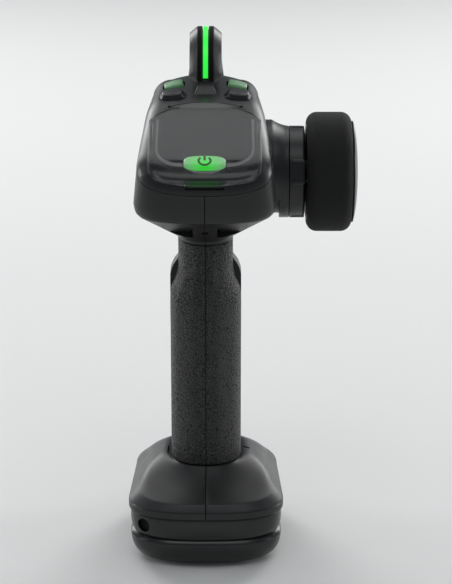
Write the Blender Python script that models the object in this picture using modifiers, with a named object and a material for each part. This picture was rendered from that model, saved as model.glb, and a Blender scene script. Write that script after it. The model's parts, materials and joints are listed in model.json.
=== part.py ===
import math

import bmesh
import bpy
from mathutils import Matrix, Vector

# Frame: +Z up, the user stands at -Y, the steering wheel is at +X,
# and the origin is the middle of the foot pad's underside.

# Fits
SEAM_GAP = 0.0003
FIT_GAP = 0.0003
SLIDE_GAP = 0.0004
TURN_GAP = 0.0008
WALL = 0.0022

# Base
BASE_WIDTH = 0.0764
BASE_DEPTH = 0.0880
BASE_CORNER = 0.0210
BASE_CORNER_FRONT = 0.0280
BASE_TAPER = 0.0046  # narrower by this where the front corners start
BASE_POWER = 2.6
BASE_SEAM_Z = 0.0274
LIP_HEIGHT = 0.0036
RING_STEP = 0.0009
CAP_TOP_Z = 0.0153
CAP_BOTTOM_Z = 0.0008
CAP_CURVE = 0.0105
CAP_FLOOR = 0.0024
CAP_INNER_CURVE = 0.0036
PAD_WIDTH = 0.0460
PAD_DEPTH = 0.0540
PAD_CORNER = 0.0120
PAD_THICKNESS = 0.0020
CREASE_Z = 0.0343
CREASE_LIFT = 0.0014
CREASE_INSET_REAR = 0.0030
CREASE_INSET_SIDE = 0.0046
DOME_LIFT = 0.0046

# Grip
GRIP_WIDTH = 0.0346
GRIP_REAR = -0.0210
GRIP_FRONT = 0.0190
GRIP_CORNER_REAR = 0.0170
GRIP_CORNER_FRONT = 0.0110
GRIP_POWER = 2.3
GRIP_FOOT_Z = 0.0460
GRIP_HEIGHT = 0.0840
RUBBER_TAPER = 0.0165
SHOULDER_RISE = 0.0105
SHOULDER_HEIGHT = 0.0085
NECK_WIDTH = 0.0266
NECK_REAR = -0.0190
NECK_FRONT = 0.0160
NECK_HEIGHT = 0.0114
RUBBER = 0.0016

# Head
NECK_BAND = 0.0016
FUNNEL_HEIGHT = 0.0176
HEAD_LOW_WIDTH = 0.0626
HEAD_LOW_REAR = -0.0446
HEAD_LOW_FRONT = 0.0590
HEAD_EDGE = 0.0060
HEAD_WIDTH = 0.0672
HEAD_REAR = -0.0460
HEAD_FRONT = 0.0640
HEAD_TIP_WIDTH = 0.0520
HEAD_SEAM_WIDTH = 0.0640
HEAD_CORNER_REAR = 0.0165
HEAD_CORNER_FRONT = 0.0300
HEAD_POWER = 2.6
FUNNEL_WALL = 0.0062
REAR_WALL_HEIGHT = 0.0137
SEAM_RISE = 0.0232
SEAM_PEAK_Y = 0.0340

# Top shell and cover
COVER_REAR_HEIGHT = 0.0119
COVER_REAR_Y = -0.0410
HINGE_Y = 0.0050
COVER_RISE = 0.0190
DECK_FRONT_Y = 0.0350
DECK_RISE = 0.0024
NOSE_FALL = 12.5
DECK_WALL = 0.0024
SHELF_HEIGHT = 0.0030
TOP_ROUND = 0.0085
COVER_EDGE = 0.0008
COVER_WALL = 0.0016
COVER_ARC = 0.0440
HINGE_TAB_WIDTH = 0.0330
HINGE_PIN_RADIUS = 0.0008
HINGE_KNUCKLE = 0.0017
HINGE_DROP = 0.0006
HINGE_LUG = 0.0032
DISPLAY_WIDTH = 0.0420
DISPLAY_REAR = -0.0300
DISPLAY_FRONT = -0.0030
DISPLAY_THICKNESS = 0.0042
DISPLAY_DEPTH = 0.0026
BOARD_THICKNESS = 0.0016
STRIP_WIDTH = 0.0020
STRIP_INSET = 0.0050
STRIP_DROP = 0.0034
STRIP_FRONT = -0.0040

# Buttons
POWER_WIDTH = 0.0192
POWER_DEPTH = 0.0082
POWER_Y = -0.0376
POWER_PROUD = 0.0020
POWER_HEAD = 0.0039
POWER_ROUND = 0.0008
POWER_STEM_WIDTH = 0.0100
POWER_STEM_DEPTH = 0.0040
POWER_STEM_SHIFT = 0.0012
POWER_SWITCH_HEIGHT = 0.0040
LIT_INSET = 0.0157
LIT_Y = 0.0280
LIT_WIDTH = 0.0104
LIT_DEPTH = 0.0074
LIT_HEIGHT = 0.0024
OVAL_INSET = 0.0156
OVAL_Y = 0.0126
OVAL_WIDTH = 0.0110
OVAL_DEPTH = 0.0070
OVAL_SKIRT = 0.0012
OVAL_HEIGHT = 0.0028
BUTTON_TRAVEL = 0.0010
BUTTON_FLANGE = 0.0006
BUTTON_FLANGE_HEIGHT = 0.0012
BUTTON_ROUND = 0.0006
OVAL_STEM_WIDTH = 0.0090
OVAL_STEM_DEPTH = 0.0054
SWITCH_HEIGHT = 0.0020
SWITCH_SIZE = 0.0052

# Carry loop
LOOP_Y = 0.0380
LOOP_SINK = 0.0056
LOOP_RISE = 0.0332
LOOP_HALF_DEPTH = 0.0222
LOOP_WIDTH = 0.0158
LOOP_FOOT_FLARE = 0.0020
LOOP_THICKNESS = 0.0082
LOOP_CHAMFER = 0.0038
LOOP_LIGHT_WIDTH = 0.0024
LOOP_LIGHT_DEPTH = 0.0011

# Steering wheel
WHEEL_Y = 0.0100
WHEEL_RISE = 0.0089
WHEEL_RADIUS = 0.0289
WHEEL_INNER_X = 0.0486
WHEEL_WIDTH = 0.0219
TYRE_BORE_RADIUS = 0.0240
TYRE_ROUND = 0.0045
RIM_WALL = 0.0020
CAP_RADIUS = 0.0246
CAP_RISE = 0.0026
MOUNT_RADIUS = 0.0222
MOUNT_NECK_RADIUS = 0.0200
MOUNT_START_X = 0.0300
MOUNT_FACE_X = 0.0361
MOUNT_END_X = 0.0400
MOUNT_FLARE = 0.0016
HOUSING_END_X = 0.0478
HOUSING_RADIUS = 0.0224
PAD_RISE = 0.0009
HOUSING_PAD_WIDTH = 0.0118
HOUSING_PAD_LENGTH = 0.0048
SPIGOT_RADIUS = 0.0090
SPIGOT_END_X = 0.0190
SHAFT_RADIUS = 0.0030
BEARING_RADIUS = 0.0065
BEARING_WIDTH = 0.0045
SENSOR_THICKNESS = 0.0016
SENSOR_CAN = 0.0060

# Trigger
TRIGGER_Y = 0.0420
TRIGGER_DROP = 0.0006
TRIGGER_WIDTH = 0.0120
TRIGGER_HUB = 0.0050
TRIGGER_RING_Y = 0.0490
TRIGGER_LENGTH = 0.0360
TRIGGER_RING_HALF_Y = 0.0150
TRIGGER_RING_HALF_Z = 0.0195
TRIGGER_BAND = 0.0042
TRIGGER_PIN_RADIUS = 0.0015
TRIGGER_PIN_LENGTH = 0.0220
TRIGGER_SLOT_REAR = 0.0150
TRIGGER_SLOT_FRONT = 0.0130
RIB_THICKNESS = 0.0026
RIB_HALF = 0.0055
RIB_TOP = 0.0066
SPRING_RADIUS = 0.0034

# Power and fastenings
CELL_RADIUS = 0.00925
CELL_LENGTH = 0.0650
HOLDER_FLOOR = 0.0018
HOLDER_WALL = 0.0010
HOLDER_HEIGHT = 0.0120
SCREW_INSET_X = 0.0137
SCREW_INSET_Y = 0.0155
SCREW_INSET_FRONT = 0.0235
SCREW_RADIUS = 0.0013
SCREW_HEAD = 0.0025
SCREW_HEAD_HEIGHT = 0.0018
POST_RADIUS = 0.0042
BASE_SCREW_REACH = 0.0120
PORT_RADIUS = 0.0036
PORT_Z = 0.0213
PORT_ANGLE = 51.0
PORT_RECESS = 0.0009
CASE_SCREW_X = 0.0090
LOW_SCREW_Y = 0.0080
LOW_SCREW_RISE = 0.0240
HIGH_SCREW_Y = 0.0080
HIGH_SCREW_DROP = 0.0100
NOSE_SCREW_Y = 0.0500
NOSE_SCREW_RISE = 0.0194

# Shares of a size
ROUND_INSET_SHARES = (0.12, 0.32, 0.62, 1.00)
ROUND_DROP_SHARES = (0.55, 0.24, 0.07, 0.00)
ROUND_ROOM_SHARE = 1.1
COVER_ROUND_SHARE = 0.7
DOME_STOP_SHARES = (0.20, 0.45, 0.72, 0.90)
DOME_LIFT_SHARES = (0.85, 1.00, 0.80, 0.40)
DOME_RISE_SHARES = (0.90, 1.00, 1.00, 0.80)
CREASE_RISE_SHARE = 0.7
BOSS_LIFT_SHARE = 0.7
DOME_FRONT_SHARE = 0.3
POST_RISE_SHARE = 0.9
RING_LOW_SHARE = 0.6
RING_HIGH_SHARE = 0.3
STADIUM_SHARE = 0.46
STADIUM_EDGE_SHARE = 0.42
STADIUM_TOP_SHARE = 0.30
OVAL_TOP_SHARE = 0.38
STEM_LAP_SHARE = 0.8
SWITCH_REACH_SHARE = 1.3
SKIRT_EDGE_SHARE = 0.5
CHAMFER_SLANT_SHARE = 0.8
TYRE_BEND_SHARE = 0.3
WEB_SHARE = 0.35
CAP_STOP_SHARES = (0.45, 0.82, 1.00)
CAP_RISE_SHARES = (0.92, 0.62, 0.20)
NOSE_ROOM_SHARE = 1.6
SLIM_SHARE = 0.5
POCKET_START_SHARE = 0.22
POCKET_END_SHARE = 0.78
LIGHT_END_SHARE = 0.82

# Angles
LOOP_TUCK_ANGLE = 0.35
LIGHT_START_ANGLE = 0.22
TRIGGER_RING_START_ANGLE = 118.0
TRIGGER_RING_END_ANGLE = 422.0

# Pockets under the head
POCKET_DEPTH = 0.0034
POCKET_INNER_X = 0.0058
POCKET_OUTER_X = 0.0200
STRAP_HOLE = 0.0013

# Counts and smoothness
HOUSING_PADS = 4
CAP_STEPS = 4
SHELF_STEPS = 17
SHELF_ROWS = 12
ROOM_STEPS = 9
DECK_STEPS = 18
HUB_STEPS = 12
RING_STEPS = 28
BORE_STEPS = 24
BUTTON_STEPS = 5
CORNER_STEPS = 7
SIDE_STEPS = 4
ROUND_STEPS = 32
SMALL_STEPS = 16
LOOP_STEPS = 20
STEP_RUN = 0.0004
CENTRE_FLAT = 0.0006
OUTSIDE = 0.1000

# Levels and places that follow from the sizes above
RUBBER_TAPER_Z = GRIP_FOOT_Z + GRIP_HEIGHT
RUBBER_NECK_Z = RUBBER_TAPER_Z + RUBBER_TAPER
SHOULDER_Z = RUBBER_TAPER_Z + SHOULDER_RISE
NECK_LOW_Z = SHOULDER_Z + SHOULDER_HEIGHT
RUBBER_TOP_Z = NECK_LOW_Z + NECK_HEIGHT
NECK_Z = RUBBER_TOP_Z + NECK_BAND
HEAD_LOW_Z = NECK_Z + FUNNEL_HEIGHT
SEAM_REAR_Z = HEAD_LOW_Z + REAR_WALL_HEIGHT
SEAM_PEAK_Z = SEAM_REAR_Z + SEAM_RISE
COVER_REAR_Z = SEAM_REAR_Z + COVER_REAR_HEIGHT
HINGE_Z = COVER_REAR_Z + COVER_RISE
DECK_FRONT_Z = HINGE_Z + DECK_RISE
LOOP_BASE_Z = DECK_FRONT_Z - LOOP_SINK
LOOP_TOP_Z = LOOP_BASE_Z + LOOP_RISE
WHEEL_Z = HEAD_LOW_Z + WHEEL_RISE
TRIGGER_Z = HEAD_LOW_Z - TRIGGER_DROP
TRIGGER_RING_Z = TRIGGER_Z - TRIGGER_LENGTH
LOW_SCREW_Z = GRIP_FOOT_Z + LOW_SCREW_RISE
HIGH_SCREW_Z = RUBBER_TAPER_Z - HIGH_SCREW_DROP
NOSE_SCREW_Z = HEAD_LOW_Z + NOSE_SCREW_RISE
LIT_X = HEAD_SEAM_WIDTH / 2 - LIT_INSET
OVAL_X = HEAD_SEAM_WIDTH / 2 - OVAL_INSET


class Section:
    def __init__(self, level, rear, front, width, corner_rear, corner_front, power, **more):
        self.level = level if callable(level) else (lambda y: level)
        self.rear = rear
        self.front = front
        self.rear_half = width / 2
        self.side_half = more.get("side_width", width) / 2
        self.tip_half = more.get("tip_width", more.get("side_width", width)) / 2
        self.corner_rear = corner_rear
        self.corner_front = corner_front
        self.power = power
        self.recess = more.get("recess", 0.0)
        self.wall_rear = more.get("wall_rear", WALL)
        self.rise = more.get("rise", 0.0)


def half_outline(section, inset, inset_rear, seam):
    share = 2 / section.power
    turn_y = section.rear + section.corner_rear
    tip_y = section.front - section.corner_front
    rear = section.rear + inset_rear + section.recess
    rear_half = section.rear_half - inset - section.recess
    side_half = section.side_half - inset
    tip_half = section.tip_half - inset
    front = section.front - inset
    points = []
    for step in range(CORNER_STEPS + 1):
        angle = math.pi / 2 * step / CORNER_STEPS
        across = rear_half * math.sin(angle) ** share
        along = turn_y - (turn_y - rear) * abs(math.cos(angle)) ** share
        points.append((max(across, seam), along))
    for step in range(SIDE_STEPS):
        part = step / SIDE_STEPS
        along = turn_y + STEP_RUN + (tip_y - turn_y - STEP_RUN) * part
        points.append((side_half + (tip_half - side_half) * part, along))
    for step in range(CORNER_STEPS + 1):
        angle = math.pi / 2 * step / CORNER_STEPS
        across = tip_half * abs(math.cos(angle)) ** share
        along = tip_y + (front - tip_y) * math.sin(angle) ** share
        points.append((max(across, seam), along))
    return points


def half_ring(section):
    outer = half_outline(section, 0.0, 0.0, SEAM_GAP / 2)
    inner = half_outline(section, WALL, section.wall_rear, SEAM_GAP / 2)
    ring = [Vector((x, y, section.level(y))) for x, y in outer]
    ring += [Vector((x, y, section.level(y) + section.rise)) for x, y in reversed(inner)]
    return ring


def full_ring(section, inset, lift=0.0):
    right = half_outline(section, inset, inset, CENTRE_FLAT)
    ring = [Vector((x, y, section.level(y) + lift)) for x, y in right]
    ring += [Vector((-x, y, section.level(y) + lift)) for x, y in reversed(right)]
    return ring


def clear_scene():
    for item in list(bpy.data.objects):
        bpy.data.objects.remove(item)


def collection_named(name):
    group = bpy.data.collections.new(name)
    bpy.context.scene.collection.children.link(group)
    return group


def material_named(name, colour, roughness, metallic=0.0):
    made = bpy.data.materials.new(name)
    made.use_nodes = True
    shader = made.node_tree.nodes["Principled BSDF"]
    shader.inputs["Base Color"].default_value = (*colour, 1.0)
    shader.inputs["Roughness"].default_value = roughness
    shader.inputs["Metallic"].default_value = metallic
    return made


clear_scene()
parts = collection_named("radio_transmitter")
cutters = collection_named("cutters")

HARD_BLACK = ((0.020, 0.020, 0.021), 0.42)
RUBBER_BLACK = ((0.014, 0.014, 0.015), 0.75)
FOAM_BLACK = ((0.012, 0.012, 0.012), 0.95)
SMOKED = ((0.050, 0.050, 0.052), 0.12)
GREEN_LIT = ((0.030, 0.600, 0.060), 0.35)
STRIP_GREY = ((0.160, 0.160, 0.160), 0.45)
STEEL = ((0.500, 0.500, 0.520), 0.30, 1.0)
BOARD_GREEN = ((0.020, 0.120, 0.050), 0.50)
CELL_BLUE = ((0.050, 0.120, 0.300), 0.40)


def mesh_object(name, mesh_data, look):
    mesh = bpy.data.meshes.new(name)
    bmesh.ops.recalc_face_normals(mesh_data, faces=mesh_data.faces[:])
    if mesh_data.calc_volume(signed=True) < 0:
        bmesh.ops.reverse_faces(mesh_data, faces=mesh_data.faces[:])
    mesh_data.to_mesh(mesh)
    mesh_data.free()
    made = bpy.data.objects.new(name, mesh)
    if look is None:
        made.hide_render = True
        made.display_type = "WIRE"
        cutters.objects.link(made)
    else:
        mesh.materials.append(material_named(name, *look))
        parts.objects.link(made)
    return made


def loft(name, rings, look):
    data = bmesh.new()
    rows = [[data.verts.new(point) for point in ring] for ring in rings]
    count = len(rows[0])
    for low, high in zip(rows, rows[1:]):
        for index in range(count):
            after = (index + 1) % count
            data.faces.new((low[index], low[after], high[after], high[index]))
    for row in (rows[0], rows[-1]):
        for index in range(count // 2 - 1):
            far = count - 1 - index
            data.faces.new((row[index], row[index + 1], row[far - 1], row[far]))
    return mesh_object(name, data, look)


def prism(name, outline, axis, start, end, look):
    turn = {"X": lambda a, b, c: (c, a, b), "Z": lambda a, b, c: (a, b, c)}[axis]
    data = bmesh.new()
    low = [data.verts.new(turn(a, b, start)) for a, b in outline]
    high = [data.verts.new(turn(a, b, end)) for a, b in outline]
    count = len(outline)
    for index in range(count):
        after = (index + 1) % count
        data.faces.new((low[index], low[after], high[after], high[index]))
    data.faces.new(low)
    data.faces.new(high)
    return mesh_object(name, data, look)


def box(name, low, high, look):
    data = bmesh.new()
    bmesh.ops.create_cube(data, size=1.0)
    size = Vector(high) - Vector(low)
    middle = (Vector(high) + Vector(low)) / 2
    bmesh.ops.scale(data, vec=size, verts=data.verts[:])
    bmesh.ops.translate(data, vec=middle, verts=data.verts[:])
    return mesh_object(name, data, look)


def rod(name, start, end, radius, look, steps=SMALL_STEPS):
    start = Vector(start)
    end = Vector(end)
    data = bmesh.new()
    bmesh.ops.create_cone(
        data,
        cap_ends=True,
        segments=steps,
        radius1=radius,
        radius2=radius,
        depth=(end - start).length,
    )
    turn = (end - start).to_track_quat("Z", "Y").to_matrix().to_4x4()
    place = Matrix.Translation((start + end) / 2) @ turn
    bmesh.ops.transform(data, matrix=place, verts=data.verts[:])
    return mesh_object(name, data, look)


def turned(name, profile, origin, look, steps=ROUND_STEPS):
    """Profile points are (radius, distance along +X), turned about the X axis through the origin."""
    data = bmesh.new()
    points = [data.verts.new((radius, 0.0, along)) for radius, along in profile]
    closed = min(radius for radius, along in profile) > 0
    for first, second in zip(points, points[1:] + points[:1]):
        if closed or second is not points[0]:
            data.edges.new((first, second))
    made = mesh_object(name, data, look)
    made.location = origin
    made.rotation_euler = (0.0, math.pi / 2, 0.0)
    screw = made.modifiers.new("turn", "SCREW")
    screw.axis = "Z"
    screw.steps = steps
    screw.render_steps = steps
    screw.use_merge_vertices = True
    screw.merge_threshold = 0.00005
    return made


def change(target, other, operation):
    step = target.modifiers.new(operation.lower(), "BOOLEAN")
    step.operation = operation
    step.solver = "EXACT"
    step.object = other
    return target


def cut(target, *others):
    for other in others:
        change(target, other, "DIFFERENCE")


def add(target, *others):
    for other in others:
        change(target, other, "UNION")


def set_origin(item, place):
    place = Vector(place)
    item.data.transform(Matrix.Translation(-place))
    item.location = place


def rounded(width, depth, radius, steps=BUTTON_STEPS):
    outline = []
    for side, end, start in ((1, 1, 90), (1, -1, 0), (-1, -1, -90), (-1, 1, -180)):
        for step in range(steps + 1):
            angle = math.radians(start - 90 * step / steps)
            x = side * (width / 2 - radius) + radius * math.cos(angle)
            y = end * (depth / 2 - radius) + radius * math.sin(angle)
            outline.append((x, y))
    return outline


def stacked(name, layers, look, place=(0.0, 0.0, 0.0), tilt=0.0):
    """Each layer is (width, depth, corner radius, height)."""
    rings = []
    for width, depth, radius, height in layers:
        rings.append([Vector((x, y, height)) for x, y in rounded(width, depth, radius)])
    made = loft(name, rings, look)
    made.location = place
    made.rotation_euler = (tilt, 0.0, 0.0)
    return made


# Head surfaces: the seam, the top profile and the half width, each along the depth
SEAM_BEND = (SEAM_PEAK_Z - SEAM_REAR_Z) / (SEAM_PEAK_Y - HEAD_REAR) ** 2
COVER_SLOPE = (HINGE_Z - COVER_REAR_Z) / (HINGE_Y - COVER_REAR_Y)
COVER_TILT = math.atan(COVER_SLOPE)
DECK_SLOPE = (DECK_FRONT_Z - HINGE_Z) / (DECK_FRONT_Y - HINGE_Y)


def seam_z(y):
    return SEAM_PEAK_Z - SEAM_BEND * (y - SEAM_PEAK_Y) ** 2


def top_z(y):
    if y < HINGE_Y:
        return HINGE_Z + (y - HINGE_Y) * COVER_SLOPE
    if y < DECK_FRONT_Y:
        return HINGE_Z + (y - HINGE_Y) * DECK_SLOPE
    return DECK_FRONT_Z - NOSE_FALL * (y - DECK_FRONT_Y) ** 2


def head_half(y):
    turn_y = HEAD_REAR + HEAD_CORNER_REAR
    tip_y = HEAD_FRONT - HEAD_CORNER_FRONT
    part = min(max((y - turn_y) / (tip_y - turn_y), 0.0), 1.0)
    half = (HEAD_SEAM_WIDTH + (HEAD_TIP_WIDTH - HEAD_SEAM_WIDTH) * part) / 2
    if y > tip_y:
        past = min((y - tip_y) / HEAD_CORNER_FRONT, 1.0)
        half *= (1 - past**HEAD_POWER) ** (1 / HEAD_POWER)
    return half


def spread(start, end, count):
    return [start + (end - start) * index / (count - 1) for index in range(count)]


# Case halves: one lofted skin from the base seam over grip and neck to the head seam
def base_section(z, inset_side, inset_rear, lift=0.0, rise=0.0):
    rear = -BASE_DEPTH / 2 + inset_rear
    front = BASE_DEPTH / 2 - inset_rear
    reach = BASE_CORNER

    def level(y):
        part = min(max((y - rear) / reach, 0.0), 1.0)
        return z + lift * part * part * (3 - 2 * part)

    width = BASE_WIDTH - 2 * inset_side
    return Section(
        level, rear, front, width, BASE_CORNER, BASE_CORNER_FRONT, BASE_POWER,
        tip_width=width - BASE_TAPER, rise=rise,
    )


def dome_section(part, lift, rise):
    """Part 0 is the crease of the base, part 1 the foot of the grip."""
    def mix(a, b):
        return a + (b - a) * part

    crease_rear = -BASE_DEPTH / 2 + CREASE_INSET_REAR
    crease_front = BASE_DEPTH / 2 - CREASE_INSET_REAR
    rear = mix(crease_rear, GRIP_REAR)
    front = mix(crease_front, GRIP_FRONT)
    width = mix(BASE_WIDTH - 2 * CREASE_INSET_SIDE, GRIP_WIDTH)
    height = mix(CREASE_Z, GRIP_FOOT_Z) - math.sin(math.pi * part) * LIP_HEIGHT / 4
    corner_rear = mix(BASE_CORNER, GRIP_CORNER_REAR)
    corner_front = mix(BASE_CORNER_FRONT, GRIP_CORNER_FRONT)
    tip_width = width - mix(BASE_TAPER, 0.0)
    power = mix(BASE_POWER, GRIP_POWER)

    def level(y):
        along = min(max((y - rear) / corner_rear, 0.0), 1.0)
        past = min(max(y / (BASE_DEPTH / 2), 0.0), 1.0)
        fade = DOME_FRONT_SHARE * past * past * (3 - 2 * past)
        return height + lift * (along * along * (3 - 2 * along) - fade)

    return Section(
        level, rear, front, width, corner_rear, corner_front, power, tip_width=tip_width, rise=rise,
    )


def grip_section(z, rear_width, side_width, part, recess):
    rear = GRIP_REAR + (NECK_REAR - GRIP_REAR) * part
    front = GRIP_FRONT + (NECK_FRONT - GRIP_FRONT) * part
    return Section(
        z, rear, front, rear_width, GRIP_CORNER_REAR, GRIP_CORNER_FRONT, GRIP_POWER,
        side_width=side_width, recess=recess,
    )


def grip_widths():
    """Heights of the grip with the widths of its rubber rear and of its hard front."""
    mid_z = (RUBBER_TAPER_Z + RUBBER_NECK_Z) / 2
    mid_width = (GRIP_WIDTH + NECK_WIDTH) / 2
    ease = (GRIP_WIDTH - NECK_WIDTH) / 8
    shoulder_mid = (SHOULDER_Z + NECK_LOW_Z) / 2
    rows = [(GRIP_FOOT_Z + SEAM_GAP, GRIP_WIDTH, GRIP_WIDTH)]
    rows.append((RUBBER_TAPER_Z, GRIP_WIDTH, GRIP_WIDTH))
    rows.append(((RUBBER_TAPER_Z + mid_z) / 2, GRIP_WIDTH - ease, GRIP_WIDTH))
    rows.append((mid_z, mid_width, GRIP_WIDTH))
    rows.append((SHOULDER_Z + SEAM_GAP, NECK_WIDTH + ease * 2, GRIP_WIDTH - ease / 4))
    rows.append((shoulder_mid, NECK_WIDTH + ease / 4, mid_width + ease))
    rows.append((NECK_LOW_Z, NECK_WIDTH, NECK_WIDTH))
    rows.append((RUBBER_TOP_Z, NECK_WIDTH, NECK_WIDTH))
    return rows


def grip_part(z):
    return min(max((z - RUBBER_TAPER_Z) / (NECK_LOW_Z - RUBBER_TAPER_Z), 0.0), 1.0)


def case_sections():
    sections = [base_section(BASE_SEAM_Z, 0.0, 0.0)]
    sections.append(base_section(BASE_SEAM_Z + LIP_HEIGHT, 0.0, 0.0, 0.0, -WALL / 3))
    sections.append(dome_section(0.0, CREASE_LIFT, -WALL * CREASE_RISE_SHARE))
    for stop, lift, rise in zip(DOME_STOP_SHARES, DOME_LIFT_SHARES, DOME_RISE_SHARES):
        sections.append(dome_section(stop, DOME_LIFT * lift, -WALL * rise))
    sections.append(grip_section(GRIP_FOOT_Z, GRIP_WIDTH, GRIP_WIDTH, 0.0, 0.0))
    for z, rear_width, side_width in grip_widths():
        sections.append(grip_section(z, rear_width, side_width, grip_part(z), RUBBER + FIT_GAP))
    sections.append(grip_section(RUBBER_TOP_Z + SEAM_GAP, NECK_WIDTH, NECK_WIDTH, 1.0, 0.0))
    sections.append(
        Section(
            NECK_Z, NECK_REAR, NECK_FRONT, NECK_WIDTH, GRIP_CORNER_REAR, GRIP_CORNER_FRONT,
            GRIP_POWER, wall_rear=FUNNEL_WALL / 2,
        )
    )
    low = Section(
        HEAD_LOW_Z, HEAD_LOW_REAR, HEAD_LOW_FRONT, HEAD_LOW_WIDTH, HEAD_CORNER_REAR,
        HEAD_CORNER_FRONT, HEAD_POWER, tip_width=HEAD_TIP_WIDTH - HEAD_EDGE,
        wall_rear=FUNNEL_WALL, rise=WALL,
    )
    sections.append(low)
    sections.append(
        Section(
            HEAD_LOW_Z + HEAD_EDGE / 3, (HEAD_LOW_REAR * 2 + HEAD_REAR) / 3,
            (HEAD_LOW_FRONT + HEAD_FRONT) / 2, (HEAD_LOW_WIDTH + HEAD_WIDTH * 2) / 3,
            HEAD_CORNER_REAR, HEAD_CORNER_FRONT, HEAD_POWER, tip_width=HEAD_TIP_WIDTH,
            wall_rear=FUNNEL_WALL / 2, rise=WALL * STEM_LAP_SHARE,
        )
    )
    sections.append(
        Section(
            HEAD_LOW_Z + HEAD_EDGE, (HEAD_LOW_REAR + HEAD_REAR * 2) / 3, HEAD_FRONT, HEAD_WIDTH,
            HEAD_CORNER_REAR, HEAD_CORNER_FRONT, HEAD_POWER, tip_width=HEAD_TIP_WIDTH,
            rise=WALL / 2,
        )
    )
    sections.append(seam_section(-SEAM_GAP / 2))
    return sections


def seam_section(lift):
    return Section(
        lambda y: seam_z(y) + lift, HEAD_REAR, HEAD_FRONT, HEAD_SEAM_WIDTH, HEAD_CORNER_REAR,
        HEAD_CORNER_FRONT, HEAD_POWER, tip_width=HEAD_TIP_WIDTH,
    )


def mirrored(ring):
    return [Vector((-point.x, point.y, point.z)) for point in ring]


case_rings = [half_ring(section) for section in case_sections()]
case_right = loft("case_right", case_rings, HARD_BLACK)
case_left = loft("case_left", [mirrored(ring) for ring in case_rings], HARD_BLACK)

# Grip panels: each fills the recess at the back of its case half
panel_rings = []
for z, rear_width, side_width in grip_widths():
    section = grip_section(z, rear_width, side_width, grip_part(z), 0.0)
    corner = CORNER_STEPS + 1
    outer = half_outline(section, 0.0, 0.0, SEAM_GAP / 2)[:corner]
    inner = half_outline(section, RUBBER, RUBBER, SEAM_GAP / 2)[:corner]
    low = z + SEAM_GAP if z < RUBBER_TAPER_Z else z
    high = low - SEAM_GAP if z >= RUBBER_TOP_Z else low
    ring = [Vector((x, y, high)) for x, y in outer]
    ring += [Vector((x, y, high)) for x, y in reversed(inner)]
    panel_rings.append(ring)
loft("grip_panel_right", panel_rings, RUBBER_BLACK)
loft("grip_panel_left", [mirrored(ring) for ring in panel_rings], RUBBER_BLACK)

# Pockets beside the middle block under the head, and the strap hole in that block
funnel_run = Vector((HEAD_LOW_REAR - NECK_REAR, HEAD_LOW_Z - NECK_Z))
funnel_out = Vector((-funnel_run.y, funnel_run.x)).normalized()
if funnel_out.y > 0:
    funnel_out = -funnel_out
neck_back = Vector((NECK_REAR, NECK_Z))
pocket_outline = []
pocket_ends = [(POCKET_START_SHARE, 1), (POCKET_END_SHARE, 1)]
pocket_ends += [(POCKET_END_SHARE, -1), (POCKET_START_SHARE, -1)]
for part, side in pocket_ends:
    point = neck_back + funnel_run * part + funnel_out * POCKET_DEPTH * side
    pocket_outline.append((point.x, point.y))
for target, side in ((case_right, 1), (case_left, -1)):
    name = "pocket_" + target.name
    pocket = prism(name, pocket_outline, "X", side * POCKET_INNER_X, side * POCKET_OUTER_X, None)
    cut(target, pocket)
hole_middle = neck_back + funnel_run / 2
hole_out = hole_middle + funnel_out * POCKET_DEPTH
hole_in = hole_middle - funnel_out * POCKET_DEPTH
hole_start = (0.0, hole_in.x, hole_in.y)
hole_end = (0.0, hole_out.x, hole_out.y)
strap_hole = rod("strap_hole", hole_start, hole_end, STRAP_HOLE, None)
cut(case_right, strap_hole)
cut(case_left, strap_hole)

# Trigger slot and the ribs that carry the trigger pin
slot_half = TRIGGER_WIDTH / 2 + TURN_GAP
slot_cutter = box(
    "trigger_slot",
    (-slot_half, TRIGGER_Y - TRIGGER_SLOT_REAR, NECK_Z - HEAD_EDGE),
    (slot_half, TRIGGER_Y + TRIGGER_SLOT_FRONT, TRIGGER_Z + TRIGGER_HUB),
    None,
)
rib_start = slot_half + SLIDE_GAP
floor_slope = (HEAD_LOW_Z - NECK_Z) / (HEAD_LOW_FRONT - NECK_FRONT)


def floor_z(y):
    return NECK_Z + floor_slope * (y - NECK_FRONT) + WALL


rib_rear = TRIGGER_Y - RIB_HALF
rib_front = TRIGGER_Y + RIB_HALF
rib_top = TRIGGER_Z + RIB_TOP
rib_outline = [
    (rib_rear, floor_z(rib_rear)),
    (rib_front, floor_z(rib_front)),
    (rib_front, rib_top),
    (rib_rear, rib_top),
]
pin_half = TRIGGER_PIN_LENGTH / 2
pin_bore = rod(
    "pin_bore",
    (-OUTSIDE / 4, TRIGGER_Y, TRIGGER_Z),
    (OUTSIDE / 4, TRIGGER_Y, TRIGGER_Z),
    TRIGGER_PIN_RADIUS + FIT_GAP / 2,
    None,
)
for target, side in ((case_right, 1), (case_left, -1)):
    rib_end = rib_start + RIB_THICKNESS
    rib = prism("rib_" + target.name, rib_outline, "X", side * rib_start, side * rib_end, None)
    add(target, rib)
    cut(target, slot_cutter, pin_bore)

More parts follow.
